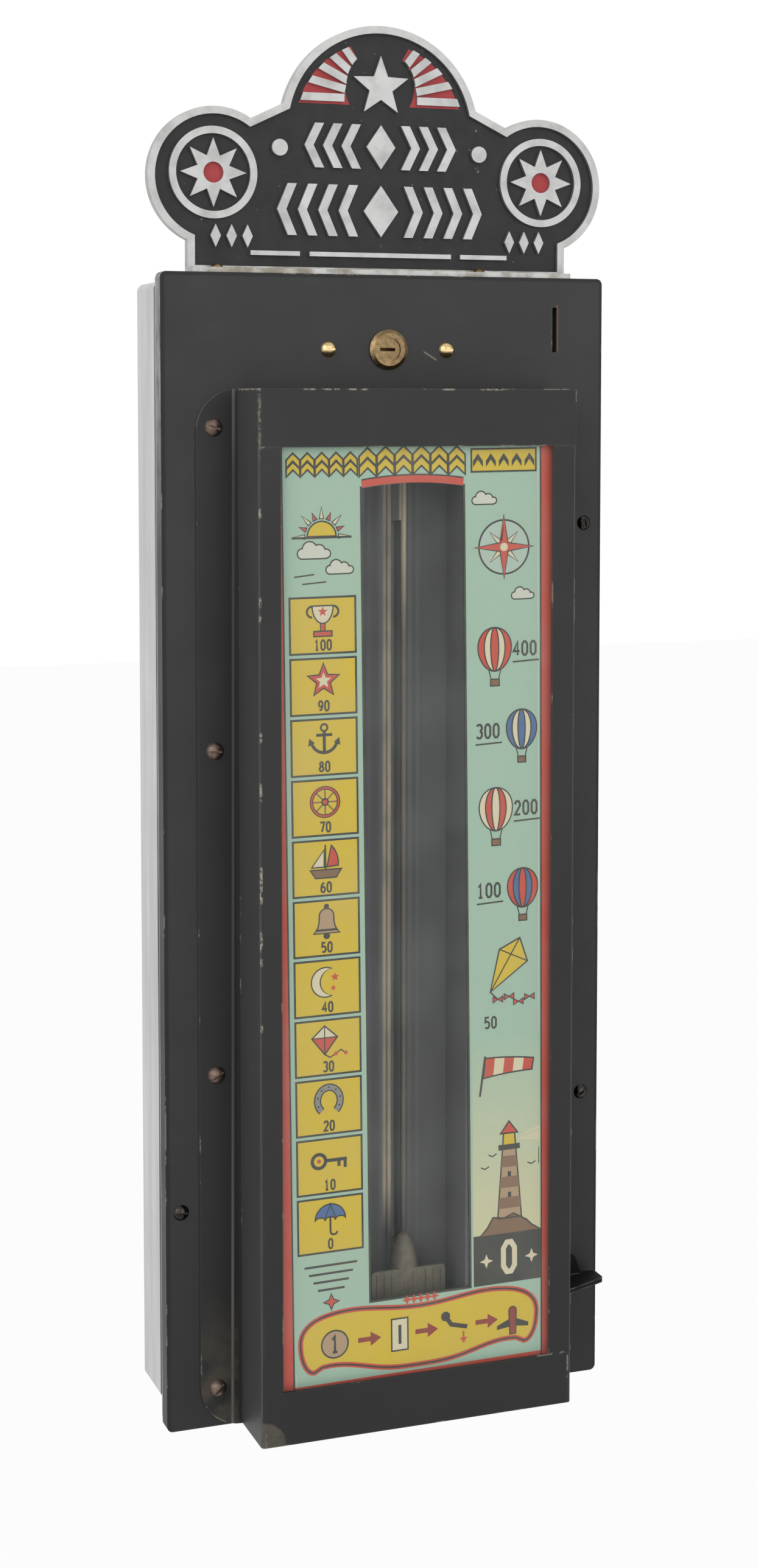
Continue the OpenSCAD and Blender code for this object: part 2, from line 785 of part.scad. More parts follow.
// Closed ring of points round the middle of a wire, at one place along the coil
function ring_points(centre, out, across, wire, sides) =
    [for (k = [0 : sides - 1]) centre + wire * (cos(360 * k / sides) * out + sin(360 * k / sides) * across)];

// Coil of round wire along +Z, from height 0
module coil(radius, wire, turns, height, steps = 14, sides = 6) {
    last = turns * steps;
    rings = [for (i = [0 : last]) let (a = 360 * i / steps)
        ring_points([radius * cos(a), radius * sin(a), height * i / last],
            [cos(a), sin(a), 0], [0, 0, 1], wire, sides)];
    polyhedron(
        points = [for (ring = rings) each ring],
        faces = concat(
            [[for (k = [sides - 1 : -1 : 0]) k]],
            [[for (k = [0 : sides - 1]) last * sides + k]],
            [for (i = [0 : last - 1], k = [0 : sides - 1])
                [i * sides + k, i * sides + (k + 1) % sides,
                    (i + 1) * sides + (k + 1) % sides, (i + 1) * sides + k]]));
}

// Extension spring with a ring at each end, hooked over the arm's pin and the post
module lever_spring() {
    r = 2.3;
    wire = 0.45;
    slack = r - wire - pin_r;
    low = spring_low + slack;
    high = spring_high - slack;
    color(steel) in_frame() translate([spring_x, spring_y, 0]) {
        translate([0, 0, low + r]) coil(r, wire, 16, high - low - 2 * r);
        for (z = [low, high]) translate([0, 0, z]) rotate([90, 0, 0])
            rotate_extrude($fn = 24) translate([r, 0]) circle(wire, $fn = 8);
        for (z = [low + r, high - r]) translate([0, 0, z]) rotate([0, 90, 0])
            cylinder(h = r, r = wire - 0.02, $fn = 8);
    }
}

// Two rubber blocks: the left one for the kicker's arm, the right one for the lug of the drive arm
module lever_stop() {
    color([0.12, 0.12, 0.12]) in_frame() {
        translate([pivot_x - 40, sheet_t, pivot_z - 19.3]) cube([9, 17, 5]);
        translate([pivot_x - 18, sheet_t, pivot_z - 12]) cube([6, drive_y + drive_t - sheet_t, 5]);
    }
}

// Steel lever outside the panel: hub, tapering web and a leaf-shaped thumb plate folded forwards
module strike_lever() {
    top = pivot_z + 2.5;
    color([0.13, 0.13, 0.13]) in_frame() difference() {
        union() {
            bar_y(pivot_x, pivot_z, -14, -3, 8);
            plate(-6, -3) polygon([[pivot_x, pivot_z + 7.5], [pivot_x + 14, top + 15],
                [pivot_x + 22, top + 14], [thumb_end - 12.6, top + 11], [thumb_end - 8, top],
                [thumb_end - 8, pivot_z], [pivot_x, pivot_z - 7.5]]);
            translate([0, 0, pivot_z]) linear_extrude(2.5) {
                polygon([[case_right + 2.4, -3], [case_right + 2.4, -3 - thumb_w], [thumb_end - 1.5, -15.3],
                    [thumb_end, -13], [thumb_end, -5.5], [thumb_end - 2.5, -3]]);
                for (y = [-13, -5.5]) translate([thumb_end - 2.5, y]) circle(2.5);
            }
        }
        bar_y(pivot_x, pivot_z, -20, 0, shaft_r + 0.02);
    }
}

module lever_shaft() {
    color(steel) in_frame() {
        bar_y(pivot_x, pivot_z, -15, 20.5, shaft_r);
        bar_y(pivot_x, pivot_z, 20.5, 24, 3);
    }
}

module shaft_cap() {
    color(steel) in_frame() difference() {
        bar_y(pivot_x, pivot_z, -18, -14, 6);
        bar_y(pivot_x, pivot_z, -15, -13, shaft_r + 0.02);
    }
}

// Arm keyed to the shaft; its finger pushes the coin against the kicker's finger
module drive_arm() {
    color(steel) in_frame() {
        difference() {
            plate(drive_y, drive_y + drive_t) {
                translate([pivot_x, pivot_z]) circle(9);
                polygon([[pivot_x, pivot_z + 9], [finger_x - 5, pivot_z + 15],
                    [finger_x - 3.4, pivot_z + 32], [finger_x, pivot_z + 32],
                    [finger_x, pivot_z + 10], [pivot_x + 6, pivot_z - 6.7]]);
                polygon([[pivot_x, pivot_z + 5], [pivot_x - 17, pivot_z - 3],
                    [pivot_x - 17, pivot_z - 7], [pivot_x, pivot_z - 7]]);
            }
            bar_y(pivot_x, pivot_z, 0, 20, shaft_r + 0.02);
        }
        bar_y(spring_x, spring_low, spring_y - 2.2, drive_y + 0.5, pin_r);
    }
}

// The hammer, free on the shaft: a long arm with a round head, and a finger with a coin rest
module kicker() {
    coin_side = coin_x + coin_t / 2 + 0.2;
    color(steel) in_frame() difference() {
        union() {
            bar_y(pivot_x, pivot_z, drive_y + drive_t + 0.3, 20.3, 9);
            translate([pivot_x, 0, pivot_z]) {
                plate(kicker_y, kicker_y + kicker_t) rotate(stroke) polygon([[0, 8],
                    [head_dx, head_dz + 2.6], [head_dx, head_dz - 2.6], [0, -8]]);
                plate(kicker_y, kicker_y + kicker_t + 2) rotate(stroke)
                    translate([head_dx, head_dz]) circle(head_r);
            }
            plate(kicker_y, kicker_y + kicker_t) polygon([[pivot_x + 2, pivot_z + 6],
                [coin_side, pivot_z + 10], [coin_side, pivot_z + 32], [coin_side + 3.4, pivot_z + 32],
                [coin_side + 5, pivot_z + 6], [coin_side - 2, pivot_z - 2], [pivot_x + 2, pivot_z - 8]]);
            translate([coin_side - 4, kicker_y, pivot_z + 6]) cube([4, 6, 2.5]);
        }
        bar_y(pivot_x, pivot_z, 0, 30, shaft_r + fit);
    }
}

// Brass slider on the guide rod: stem towards the window, foot for the kicker, catch for the rail
module carriage() {
    mid = carriage_z + carriage_h / 2;
    color(brass) in_frame() difference() {
        union() {
            translate([track_x - carriage_half, rod_y - 5, carriage_z])
                cube([2 * carriage_half, 10, carriage_h]);
            translate([track_x - 5, rod_y + 4, foot_z]) cube([10, 7, 5]);
            bar_y(track_x, stem_z, plane_y + 5, rod_y - 4, 1.9);
            plate(rod_y - 0.75, rod_y + 0.75) polygon([[track_x + 6, catch_z],
                [rail_x - rail_tip + 1.9, catch_z], [rail_x - rail_tip + 1.9, catch_z + 0.6],
                [track_x + 7, catch_z + 3.4], [track_x + 6, catch_z + 3.4]]);
        }
        translate([track_x, rod_y, carriage_z - 1]) cylinder(h = carriage_h + 2, r = rod_r + fit);
        translate([track_x - 10, rod_y - 3.5, mid - 7]) cube([12, 7, 14]);
    }
}

// High-wing monoplane, nose up, with a flat back that the stem is fixed to
module aeroplane() {
    nose = plane_len - plane_tail;
    tip_r = 3.6;
    arc = 48;
    color([0.5, 0.45, 0.36]) in_frame() translate([track_x, plane_y, plane_z]) difference() {
        intersection() {
            union() {
                rotate_extrude() intersection() {
                    translate([plane_r - arc, 0]) circle(arc, $fn = 200);
                    translate([0, -plane_tail]) square([plane_r + 1, plane_len - tip_r + 1]);
                }
                translate([0, 0, nose - tip_r]) sphere(tip_r);
                translate([0, -4.8, -plane_tail]) rotate([90, 0, 0]) linear_extrude(1.5)
                    translate([-plane_span / 2, 0]) rounded(plane_span, wing_chord, 1.8);
            }
            translate([-50, -20, -50]) cube([100, 25, 100]);
        }
        for (side = [-1, 1], i = [0 : 2])
            translate([side * (plane_span / 2 - 2.5 - 4 * i) - 0.3, -8, -plane_tail + 1.5])
                cube([0.6, 2.1, wing_chord - 3]);
    }
}

// Saw-toothed rail that rocks on its shaft; drawn engaged, then turned out to its rest
module rocked() {
    translate([rail_x, rod_y, 0]) rotate([0, 0, rock_angle]) children();
}

module ratchet_rail() {
    high = rail_bottom + rail_teeth * tooth_pitch;
    tip = -rail_tip + 0.5;
    phase = catch_z - 0.4 - floor((catch_z - 0.4 - rail_bottom) / tooth_pitch) * tooth_pitch;
    color(steel) in_frame() rocked() difference() {
        union() {
            plate(-0.75, 0.75) polygon(concat(
                [[-3, high + 2], [-3, rail_bottom - 2], [tip + tooth_depth, rail_bottom - 2]],
                [for (i = [0 : rail_teeth - 1]) each [
                    [tip + tooth_depth, phase + i * tooth_pitch - 0.9],
                    [tip, phase + i * tooth_pitch - 0.9],
                    [tip, phase + i * tooth_pitch - 0.2],
                    [tip + tooth_depth, phase + i * tooth_pitch]]],
                [[tip + tooth_depth, high + 2]]));
            for (z = [rail_bottom + 4, (rail_bottom + high) / 2, high - 14])
                translate([0, 0, z]) cylinder(h = 10, r = 3.6);
        }
        translate([0, 0, rail_bottom - 5]) cylinder(h = high, r = 2.02);
    }
}

module ratchet_shaft() {
    color(steel) in_frame() translate([rail_x, rod_y, 0]) {
        translate([0, 0, 42]) cylinder(h = bracket_top_z + 4 - 42, r = 2);
        translate([0, 0, 46 + gap]) cylinder(h = 4, r = 4);
    }
}

// Arm that the falling coin pushes aside; the ramp at its tip turns it inwards
module trip_arm() {
    reach = coin_x - rail_x + 0.6;
    color(steel) in_frame() rocked() difference() {
        union() {
            translate([0, 0, trip_z - 2]) cylinder(h = 5, r = 4.2);
            translate([0, -2.5, trip_z]) cube([reach - 2.5, 5, 1.5]);
            translate([reach - 2.5, 0, trip_z]) cylinder(h = 1.5, r = 2.5);
            strip(reach - 3.2, reach - 1.4)
                polygon([[-2, trip_z + 1.5], [2, trip_z + 1.5], [2, trip_z + 3.1]]);
        }
        translate([0, 0, trip_z - 5]) cylinder(h = 12, r = 2.02);
    }
}

module lock_plug() {
    color(brass) in_frame() difference() {
        bar_y(0, lock_z, -1.4, cam_y, 5.75);
        translate([-4.8, -2, lock_z - 0.8]) cube([8, 12, 1.6]);
    }
}

module lock_cam() {
    color(steel) in_frame() difference() {
        plate(cam_y, cam_y + cam_t) {
            translate([0, lock_z]) circle(7);
            translate([0, lock_z - 6]) square([cam_l - 6, 12]);
            translate([cam_l - 6, lock_z]) circle(6);
        }
        bar_y(0, lock_z, cam_y - 1, cam_y + cam_t + 1, 2.1);
    }
}

module cam_screw() {
    color(steel) in_frame() inward(0, cam_y + cam_t, lock_z) rotate([180, 0, 0])
        round_screw(4, 2, 2.05, cam_t);
}

back_box();
lock_keeper();
hinge_box_leaf();
cash_tray();
front_panel();
door_frame();
hinge_door_leaf();
hinge_pin();
case_left_angle();
case_right_angle();
case_top_cap();
case_bottom_cap();
glass_pane();
art_card();
card_retainers();
track_trough();
marquee();
marquee_screws();
lock_body();
lock_plate();
lock_nut();
lock_screws();
flange_screws();
panel_screws();
panel_nuts();
coin_chute();
coin_deflector();
guide_rod();
rod_brackets();
rod_buffers();
shaft_bush();
shaft_bridge();
spring_post();
lever_spring();
lever_stop();
strike_lever();
lever_shaft();
shaft_cap();
drive_arm();
kicker();
carriage();
aeroplane();
ratchet_rail();
ratchet_shaft();
trip_arm();
lock_plug();
lock_cam();
cam_screw();
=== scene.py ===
# %% [markdown]
# # A penny strength tester on a wall
# The object is a tall box of sheet steel with a black front that drops open. A glazed
# case stands on the front, a cast crest stands on its top, and a small brass aeroplane
# waits at the bottom of a slotted track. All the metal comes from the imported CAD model,
# so this file is about finishes, the printed card behind the glass, the light and the
# camera.

# %% Load the frame
import json
import math

import bpy
import numpy as np
from mathutils import Euler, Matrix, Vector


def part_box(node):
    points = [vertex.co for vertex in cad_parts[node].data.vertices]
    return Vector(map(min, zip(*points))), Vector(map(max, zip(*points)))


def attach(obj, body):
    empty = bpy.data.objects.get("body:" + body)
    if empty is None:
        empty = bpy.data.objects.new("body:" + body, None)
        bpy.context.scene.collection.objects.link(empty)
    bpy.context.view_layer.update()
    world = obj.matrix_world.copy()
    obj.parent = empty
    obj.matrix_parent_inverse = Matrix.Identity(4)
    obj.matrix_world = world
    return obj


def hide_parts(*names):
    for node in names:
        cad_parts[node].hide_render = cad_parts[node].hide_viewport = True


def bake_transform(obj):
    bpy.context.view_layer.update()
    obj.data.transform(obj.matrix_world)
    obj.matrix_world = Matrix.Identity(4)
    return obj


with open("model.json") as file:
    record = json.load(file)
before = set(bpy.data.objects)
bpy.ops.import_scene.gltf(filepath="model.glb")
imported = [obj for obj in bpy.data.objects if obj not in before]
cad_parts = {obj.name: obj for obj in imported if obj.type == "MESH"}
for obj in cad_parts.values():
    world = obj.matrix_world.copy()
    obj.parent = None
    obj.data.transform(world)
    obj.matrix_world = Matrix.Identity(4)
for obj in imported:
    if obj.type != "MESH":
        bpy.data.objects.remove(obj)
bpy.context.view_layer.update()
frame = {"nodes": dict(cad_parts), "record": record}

# %% [markdown]
# The print on the card is drawn in millimetres, measured up from the bottom of the front
# panel and sideways from its middle, because that is how it was measured on the real
# object. Two numbers from the frame turn those into metres.

# %% Places taken from the frame
MM = 0.001
panel_low, panel_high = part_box("front_panel")
card_low, card_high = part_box("art_card")
# the top cap is as wide and as deep as the case, so its corners are the case's own
case_low, case_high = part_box("case_top_cap")
FACE_Y = panel_low.y
BASE_Z = panel_low.z


def place(x_mm, depth_mm, up_mm):
    """A point in metres: x as it is, depth counted from the panel's face, height from its foot."""
    return (x_mm * MM, FACE_Y + depth_mm * MM, BASE_Z + up_mm * MM)


print(f"panel face at y {FACE_Y:.4f} m, foot at z {BASE_Z:.4f} m")

# %% [markdown]
# ## Camera
# The edges of the cabinet in the photograph fix the camera: where it stands, how far it
# is turned and tipped, and its focal length. The picture was cropped off-centre, so the
# optical axis is above the middle of the frame; the camera's shift makes up for that. It is
# taller than it is wide, so lens and shift are reckoned against its height.

# %% Camera
PHOTO_H = 2576
FOCAL_PX = 3989.0
AXIS_ROW = 947.5
SENSOR_MM = 36.0
STAND = (-414.8, -1119.8, 503.2)
DIP_DEG, TURN_DEG = 4.12, 20.1

camera_data = bpy.data.cameras.new("viewpoint")
camera_data.sensor_width = SENSOR_MM
camera_data.lens = FOCAL_PX / PHOTO_H * SENSOR_MM
camera_data.shift_y = (AXIS_ROW - PHOTO_H / 2) / PHOTO_H
camera_data.clip_start = 0.05
camera_data.clip_end = 60
viewpoint = bpy.data.objects.new("viewpoint", camera_data)
viewpoint.location = place(*STAND)
viewpoint.rotation_euler = Euler((math.radians(90 - DIP_DEG), 0, math.radians(-TURN_DEG)))
bpy.context.scene.collection.objects.link(viewpoint)
bpy.context.scene.camera = viewpoint
print(f"lens {camera_data.lens:.2f} mm, shift {camera_data.shift_y:.4f}")

# %% [markdown]
# ## Shader helpers
# A finish is a small graph of nodes. These helpers keep each graph readable: `node` adds
# one node and fills its sockets, and a socket's value may be a number, a colour or the
# output of another node.

# %% Node helpers


def finish(name):
    """A new material: returns its node tree and its Principled shader."""
    made = bpy.data.materials.new(name)
    made.use_nodes = True
    return made, made.node_tree, made.node_tree.nodes["Principled BSDF"]


def plug(tree, socket, value):
    """Links value to the socket if it is another node's output, or stores it there."""
    if isinstance(value, bpy.types.NodeSocket):
        tree.links.new(value, socket)
    elif isinstance(value, (tuple, list)) and len(value) == 3 and socket.type == "RGBA":
        socket.default_value = (*value, 1.0)
    else:
        socket.default_value = value


def node(tree, kind, sockets=None, **settings):
    """Adds a shader node, sets its properties, then fills the named or numbered sockets."""
    made = tree.nodes.new(kind)
    for key, value in settings.items():
        setattr(made, key, value)
    for key, value in (sockets or {}).items():
        plug(tree, made.inputs[key], value)
    return made


def object_point(tree, stretch=(1, 1, 1)):
    """Object coordinates times a factor per axis; a small factor draws a pattern out long."""
    coords = node(tree, "ShaderNodeTexCoord")
    mapped = node(tree, "ShaderNodeMapping", {"Vector": coords.outputs["Object"], "Scale": stretch})
    return mapped.outputs["Vector"]


def speckle(tree, scale, detail=4.0, rough=0.55, stretch=(1, 1, 1)):
    """Noise from 0 to 1 at so many cells per metre."""
    made = node(tree, "ShaderNodeTexNoise", {
        "Vector": object_point(tree, stretch), "Scale": scale,
        "Detail": detail, "Roughness": rough})
    return made.outputs["Fac"]


def ramp(tree, value, low, high, out_low=0.0, out_high=1.0):
    """Maps low..high to out_low..out_high with clamped ends."""
    made = node(tree, "ShaderNodeMapRange", {
        "Value": value, "From Min": low, "From Max": high,
        "To Min": out_low, "To Max": out_high}, clamp=True)
    return made.outputs["Result"]


def maths(tree, how, a, b=0.0):
    """One arithmetic step on two values."""
    return node(tree, "ShaderNodeMath", {0: a, 1: b}, operation=how).outputs[0]


def mix(tree, factor, a, b, how="MIX"):
    """Colour a turned towards colour b by factor."""
    made = node(tree, "ShaderNodeMix", data_type="RGBA", blend_type=how)
    plug(tree, made.inputs["Factor"], factor)
    plug(tree, made.inputs[6], a)
    plug(tree, made.inputs[7], b)
    return made.outputs[2]


def axis_value(tree, which, source="Object"):
    """One coordinate of the point (or of its normal) in the object's own space."""
    coords = node(tree, "ShaderNodeTexCoord")
    split = node(tree, "ShaderNodeSeparateXYZ", {0: coords.outputs[source]})
    return split.outputs[which]


def bump(tree, height, strength, distance):
    """Turns a height pattern into a surface normal."""
    made = node(tree, "ShaderNodeBump", {
        "Height": height, "Strength": strength, "Distance": distance})
    return made.outputs["Normal"]


def near_edges(tree, radius, low, high):
    """1 near sharp edges and 0 on flats: the rounded normal turns away from the true one."""
    soft = node(tree, "ShaderNodeBevel", {"Radius": radius}, samples=6)
    true = node(tree, "ShaderNodeNewGeometry")
    dot = node(tree, "ShaderNodeVectorMath", {
        0: soft.outputs["Normal"], 1: true.outputs["True Normal"]}, operation="DOT_PRODUCT")
    return ramp(tree, dot.outputs["Value"], high, low)


# %% [markdown]
# A mask is a value from 0 to 1 that says where something is: a flake, a stain, a line of
# wear. Masks are put together with a little arithmetic. A product of masks is 1 only where
# all of them are, and the largest of them is 1 where any one is.

# %% Sums and masks


def times(tree, first, *others):
    """The product of its values; where each is a test that gives 0 or 1, it says that all hold."""
    product = first
    for other in others:
        product = maths(tree, "MULTIPLY", product, other)
    return product


def less(tree, value, limit):
    """1 where the value is under the limit, else 0."""
    return maths(tree, "LESS_THAN", value, limit)


def more(tree, value, limit):
    """1 where the value is over the limit, else 0."""
    return maths(tree, "GREATER_THAN", value, limit)


def either(tree, first, *others):
    """The largest of its values; where each is a test, it says that one holds."""
    largest = first
    for other in others:
        largest = maths(tree, "MAXIMUM", largest, other)
    return largest


def coat(tree, under, where, share, colour):
    """A colour laid over another as far as where times share says."""
    return mix(tree, times(tree, where, share), under, colour)


# %% [markdown]
# Many marks lie at a known place on the object. The frame keeps every part's origin at the
# origin of the scene, so a part's own coordinates are the scene's, and a ramp over one of
# them makes a band, an edge or a fade at a place that was measured.

# %% Masks by place


def axes(tree, *which):
    """Coordinates of the point being shaded, in metres: 0 is across, 1 is depth and 2 is up."""
    return [axis_value(tree, i) for i in which]


def by_height(tree, low_mm, high_mm, out_low=0.0, out_high=1.0):
    """A ramp between two heights, counted in millimetres from the foot of the panel."""
    return ramp(tree, axis_value(tree, 2), BASE_Z + low_mm * MM, BASE_Z + high_mm * MM, out_low, out_high)


def away_from(tree, value, middle):
    """How far a coordinate is from a middle value, without its sign."""
    return maths(tree, "ABSOLUTE", maths(tree, "SUBTRACT", value, middle))


def distance_from(tree, x_mm, up_mm, both_sides=False):
    """Distance seen from the front: root of (x - x0) squared plus (z - z0) squared."""
    across = axis_value(tree, 0)
    if both_sides:
        across = maths(tree, "ABSOLUTE", across)
    aside = maths(tree, "SUBTRACT", across, x_mm * MM)
    rise = maths(tree, "SUBTRACT", axis_value(tree, 2), BASE_Z + up_mm * MM)
    squares = maths(tree, "ADD", times(tree, aside, aside), times(tree, rise, rise))
    return maths(tree, "SQRT", squares)


# %% [markdown]
# ## Black enamel
# The panel, the case and the caps are stove-enamelled a soft black that has greyed with
# age, so its own colour does most of the work and its gloss is low. One material covers all
# of it. It is built up in coats, as paint is, and each of the next cells makes one coat:
# first the ground, which is never one even black but drifts, hazes over and gathers dust.

# %% Enamel: the ground
ENAMEL_DARK = (0.0235, 0.0237, 0.0242)
ENAMEL_GREY = (0.0325, 0.0327, 0.0332)
HAZE = (0.050, 0.050, 0.051)
DUST = (0.11, 0.11, 0.10)


def enamel_ground(tree):
    """Dark to grey by a broad noise, then a finer haze, then specks of dust."""
    body = mix(tree, ramp(tree, speckle(tree, 9, 4), 0.3, 0.7), ENAMEL_DARK, ENAMEL_GREY)
    body = coat(tree, body, ramp(tree, speckle(tree, 55, 5, 0.7), 0.55, 0.8), 0.3, HAZE)
    return coat(tree, body, ramp(tree, speckle(tree, 900, 2), 0.68, 0.75), 0.2, DUST)


# %% [markdown]
# Parts of the enamel are darker than others in the photograph: the front of the case, the left flange, the
# lowest stretch and the rims where the sheet is folded back. This is painted shade. The left wall of the
# case is greyer: a painted reflection of the pale room. Lamps could do this for one view only, so it is put
# into the colour, by where a point lies on the object.

# %% Enamel: painted shade and reflection by place
# the black of painted shade, and the grey of a painted reflection of the pale room
PAINTED_SHADE_BLACK = (0.009, 0.009, 0.0092)
WALL_REFLECTION_GREY = (0.085, 0.085, 0.086)
FLANGE_PROUD = 0.6 * MM
RIM_DEPTH = 5 * MM
CASE_SHADE = (FACE_Y - 20 * MM, FACE_Y - 25 * MM)
LEFT_FOLD_SHADE = (panel_low.x + 2.8 * MM, panel_low.x + 1.4 * MM)
RIGHT_FOLD_SHADE = (panel_high.x - 1.8 * MM, panel_high.x - 1.0 * MM)
TOP_FOLD_SHADE = (panel_high.z - 2.2 * MM, panel_high.z - 1.4 * MM)


def darker(tree, colour, share):
    """The enamel turned towards its deepest black by share: painted shade."""
    return mix(tree, share, colour, PAINTED_SHADE_BLACK)


def facing_left(tree):
    """1 where the surface looks to the left."""
    return less(tree, axis_value(tree, 0, "Normal"), -0.7)


def proud(tree):
    """1 on everything that stands in front of the panel's own face."""
    return less(tree, axis_value(tree, 1), FACE_Y - FLANGE_PROUD)


def on_flange(tree):
    """1 on the left flange: left of the case and in front of the panel."""
    return times(tree, less(tree, axis_value(tree, 0), case_low.x - 2 * MM), proud(tree))


def painted_shade_by_place(tree, body):
    """Painted shade and a painted reflection: each tone is a ramp or a test on one or two coordinates, and
    they add up.
    """
    across, depth, up = axes(tree, 0, 1, 2)
    # painted shade on the front of the case
    body = darker(tree, body, ramp(tree, depth, *CASE_SHADE, 0, 0.45))
    # painted shade, darker towards the foot
    body = darker(tree, body, by_height(tree, 190, 0, 0, 0.5))
    # painted shade on the left flange
    body = darker(tree, body, times(tree, on_flange(tree), 0.55))
    # painted shade on the folded-back rim at the far left, and a painted reflection of the pale room on the
    # case's left wall
    past_rim = more(tree, across, panel_low.x + RIM_DEPTH)
    rim = times(tree, facing_left(tree), maths(tree, "SUBTRACT", 1.0, past_rim))
    body = darker(tree, body, times(tree, rim, 0.85))
    body = coat(tree, body, times(tree, facing_left(tree), past_rim), 0.55, WALL_REFLECTION_GREY)
    # painted shade along the left, right and top folds of the panel
    for fold in (LEFT_FOLD_SHADE, RIGHT_FOLD_SHADE):
        body = darker(tree, body, ramp(tree, across, *fold, 0, 0.9))
    return darker(tree, body, ramp(tree, up, *TOP_FOLD_SHADE, 0, 0.85))


# %% [markdown]
# The left flange was bent by hand, so the bend runs slightly askew, and a thin painted highlight lies along
# it. The rounded end of the flange, where it looks up, has a painted highlight, and brown dirt has gathered
# at its foot.

# %% Enamel: the flange
FOLD_OUT, FOLD_LEAN = 5.2 * MM, 0.0052
FOLD_HIGHLIGHT = (0.135, 0.128, 0.112)
ROUNDED_END_HIGHLIGHT = (0.24, 0.235, 0.225)
DIRT = (0.085, 0.072, 0.050)


def flange_highlights_and_dirt(tree, body):
    """The fold's painted highlight is the line x = x0 + lean (z - foot), strongest near its two ends."""
    across, up = axes(tree, 0, 2)
    # painted highlight along the bend
    slant = times(tree, maths(tree, "SUBTRACT", up, BASE_Z), FOLD_LEAN)
    fold_x = maths(tree, "ADD", case_low.x - FOLD_OUT, slant)
    line = ramp(tree, away_from(tree, across, fold_x), 0.9 * MM, 0.4 * MM)
    ends = either(tree, by_height(tree, 470, 490, 0.5, 0.9), by_height(tree, 190, 60, 0.5, 1.0))
    body = mix(tree, times(tree, line, ends, proud(tree)), body, FOLD_HIGHLIGHT)
    # painted highlight on the rounded end, where it looks up
    looks_up = more(tree, axis_value(tree, 2, "Normal"), 0.12)
    looks_out = less(tree, axis_value(tree, 1, "Normal"), 0.3)
    rounded = times(tree, looks_up, less(tree, across, case_low.x + 1 * MM), looks_out)
    body = coat(tree, body, rounded, 0.75, ROUNDED_END_HIGHLIGHT)
    grains = ramp(tree, speckle(tree, 90, 4), 0.35, 0.6)
    return coat(tree, body, times(tree, on_flange(tree), by_height(tree, 70, 20), grains), 0.6, DIRT)


# %% [markdown]
# On the edges of the case the enamel has flaked off in short runs and shows tarnished
# steel. Chance alone would put the flakes anywhere along an edge, so the larger ones are
# given by where they start and end, and a noise only frays them.

# %% Enamel: flakes on the case
FLAKE = (0.40, 0.35, 0.28)
CHIPS_UP = (
    (343, 347), (315, 323), (266, 283), (243, 252), (236, 239), (204, 207),
    (449, 453), (407, 411), (400, 403))
CHIPS_ACROSS = ((-54.4, -49.2), (-44.4, -36.5), (-32.9, -23.1), (15.4, 21.4), (35.6, 48.7))
CHIP_FADE = 0.8 * MM


def near_front(tree):
    """1 on the front of the case, fading out from 1.0 to 1.5 mm behind it."""
    return ramp(tree, axis_value(tree, 1), case_low.y + 1.5 * MM, case_low.y + 1.0 * MM)


def chips_along(tree, along, origin, runs):
    """1 inside any run, each a start and an end in millimetres from the origin."""
    inside = []
    for start, end in runs:
        half = (end - start) / 2 * MM
        away = away_from(tree, along, origin + (start + end) / 2 * MM)
        inside.append(ramp(tree, away, half + CHIP_FADE, half - CHIP_FADE))
    return either(tree, *inside)


def known_chips(tree):
    """Runs up the left front edge, runs along the top edge, and the top edge of the wall."""
    across, depth, up = axes(tree, 0, 1, 2)
    at_left = ramp(tree, across, case_low.x + 1.4 * MM, case_low.x + 0.9 * MM)
    at_top = ramp(tree, up, case_high.z - 1.0 * MM, case_high.z - 0.5 * MM)
    worn_top = by_height(tree, 474, 490, 0, 0.45)
    left_edge = times(tree, at_left, either(tree, chips_along(tree, up, BASE_Z, CHIPS_UP), worn_top))
    top_edge = times(tree, at_top, chips_along(tree, across, 0, CHIPS_ACROSS))
    on_wall = times(tree, ramp(tree, across, case_low.x + 1.2 * MM, case_low.x + 0.8 * MM),
                    more(tree, across, case_low.x - 1.0 * MM), less(tree, depth, FACE_Y - 1.5 * MM))
    fray = ramp(tree, speckle(tree, 380, 4, 0.7), 0.44, 0.52)
    front = times(tree, either(tree, left_edge, top_edge), near_front(tree))
    return times(tree, either(tree, front, times(tree, on_wall, at_top)), fray)


# %% [markdown]
# Four marks are too plain to leave to chance: the lower left corner of the case is worn round, one slanting
# scratch lies beside the right-hand lock screw, a painted highlight beside the coin slot stands for its lit,
# copper-coloured inner wall, and the folded left edge of the panel is pale and mottled from the top down.

# %% Enamel: four marks
WORN_BROWN = (0.105, 0.094, 0.070)
CORNER_UP, CORNER_R = 0.5, 12.0
SCRATCH, SCRATCH_SLOPE = (22.1, 525.8), 0.6
# a painted highlight for the lit inner wall of the coin slot: its place, half its length and its colour
SLOT_WALL_LINE, SLOT_WALL_HALF = (90.4, 540.0), 11.5
LIT_SLOT_WALL_COPPER = (0.20, 0.115, 0.075)
# the pale colour of the panel's outermost left edge
SIDE_EDGE_PALE = (0.33, 0.33, 0.325)


def worn_corner(tree, body):
    """A disc about the corner, as deep as the front of the case, frayed by a noise."""
    away = distance_from(tree, case_low.x / MM, CORNER_UP)
    disc_here = ramp(tree, away, (CORNER_R + 0.6) * MM, (CORNER_R - 0.6) * MM)
    fray = ramp(tree, speckle(tree, 130, 5, 0.7), 0.3, 0.55, 0.3, 1.0)
    return coat(tree, body, times(tree, disc_here, near_front(tree), fray), 0.75, WORN_BROWN)


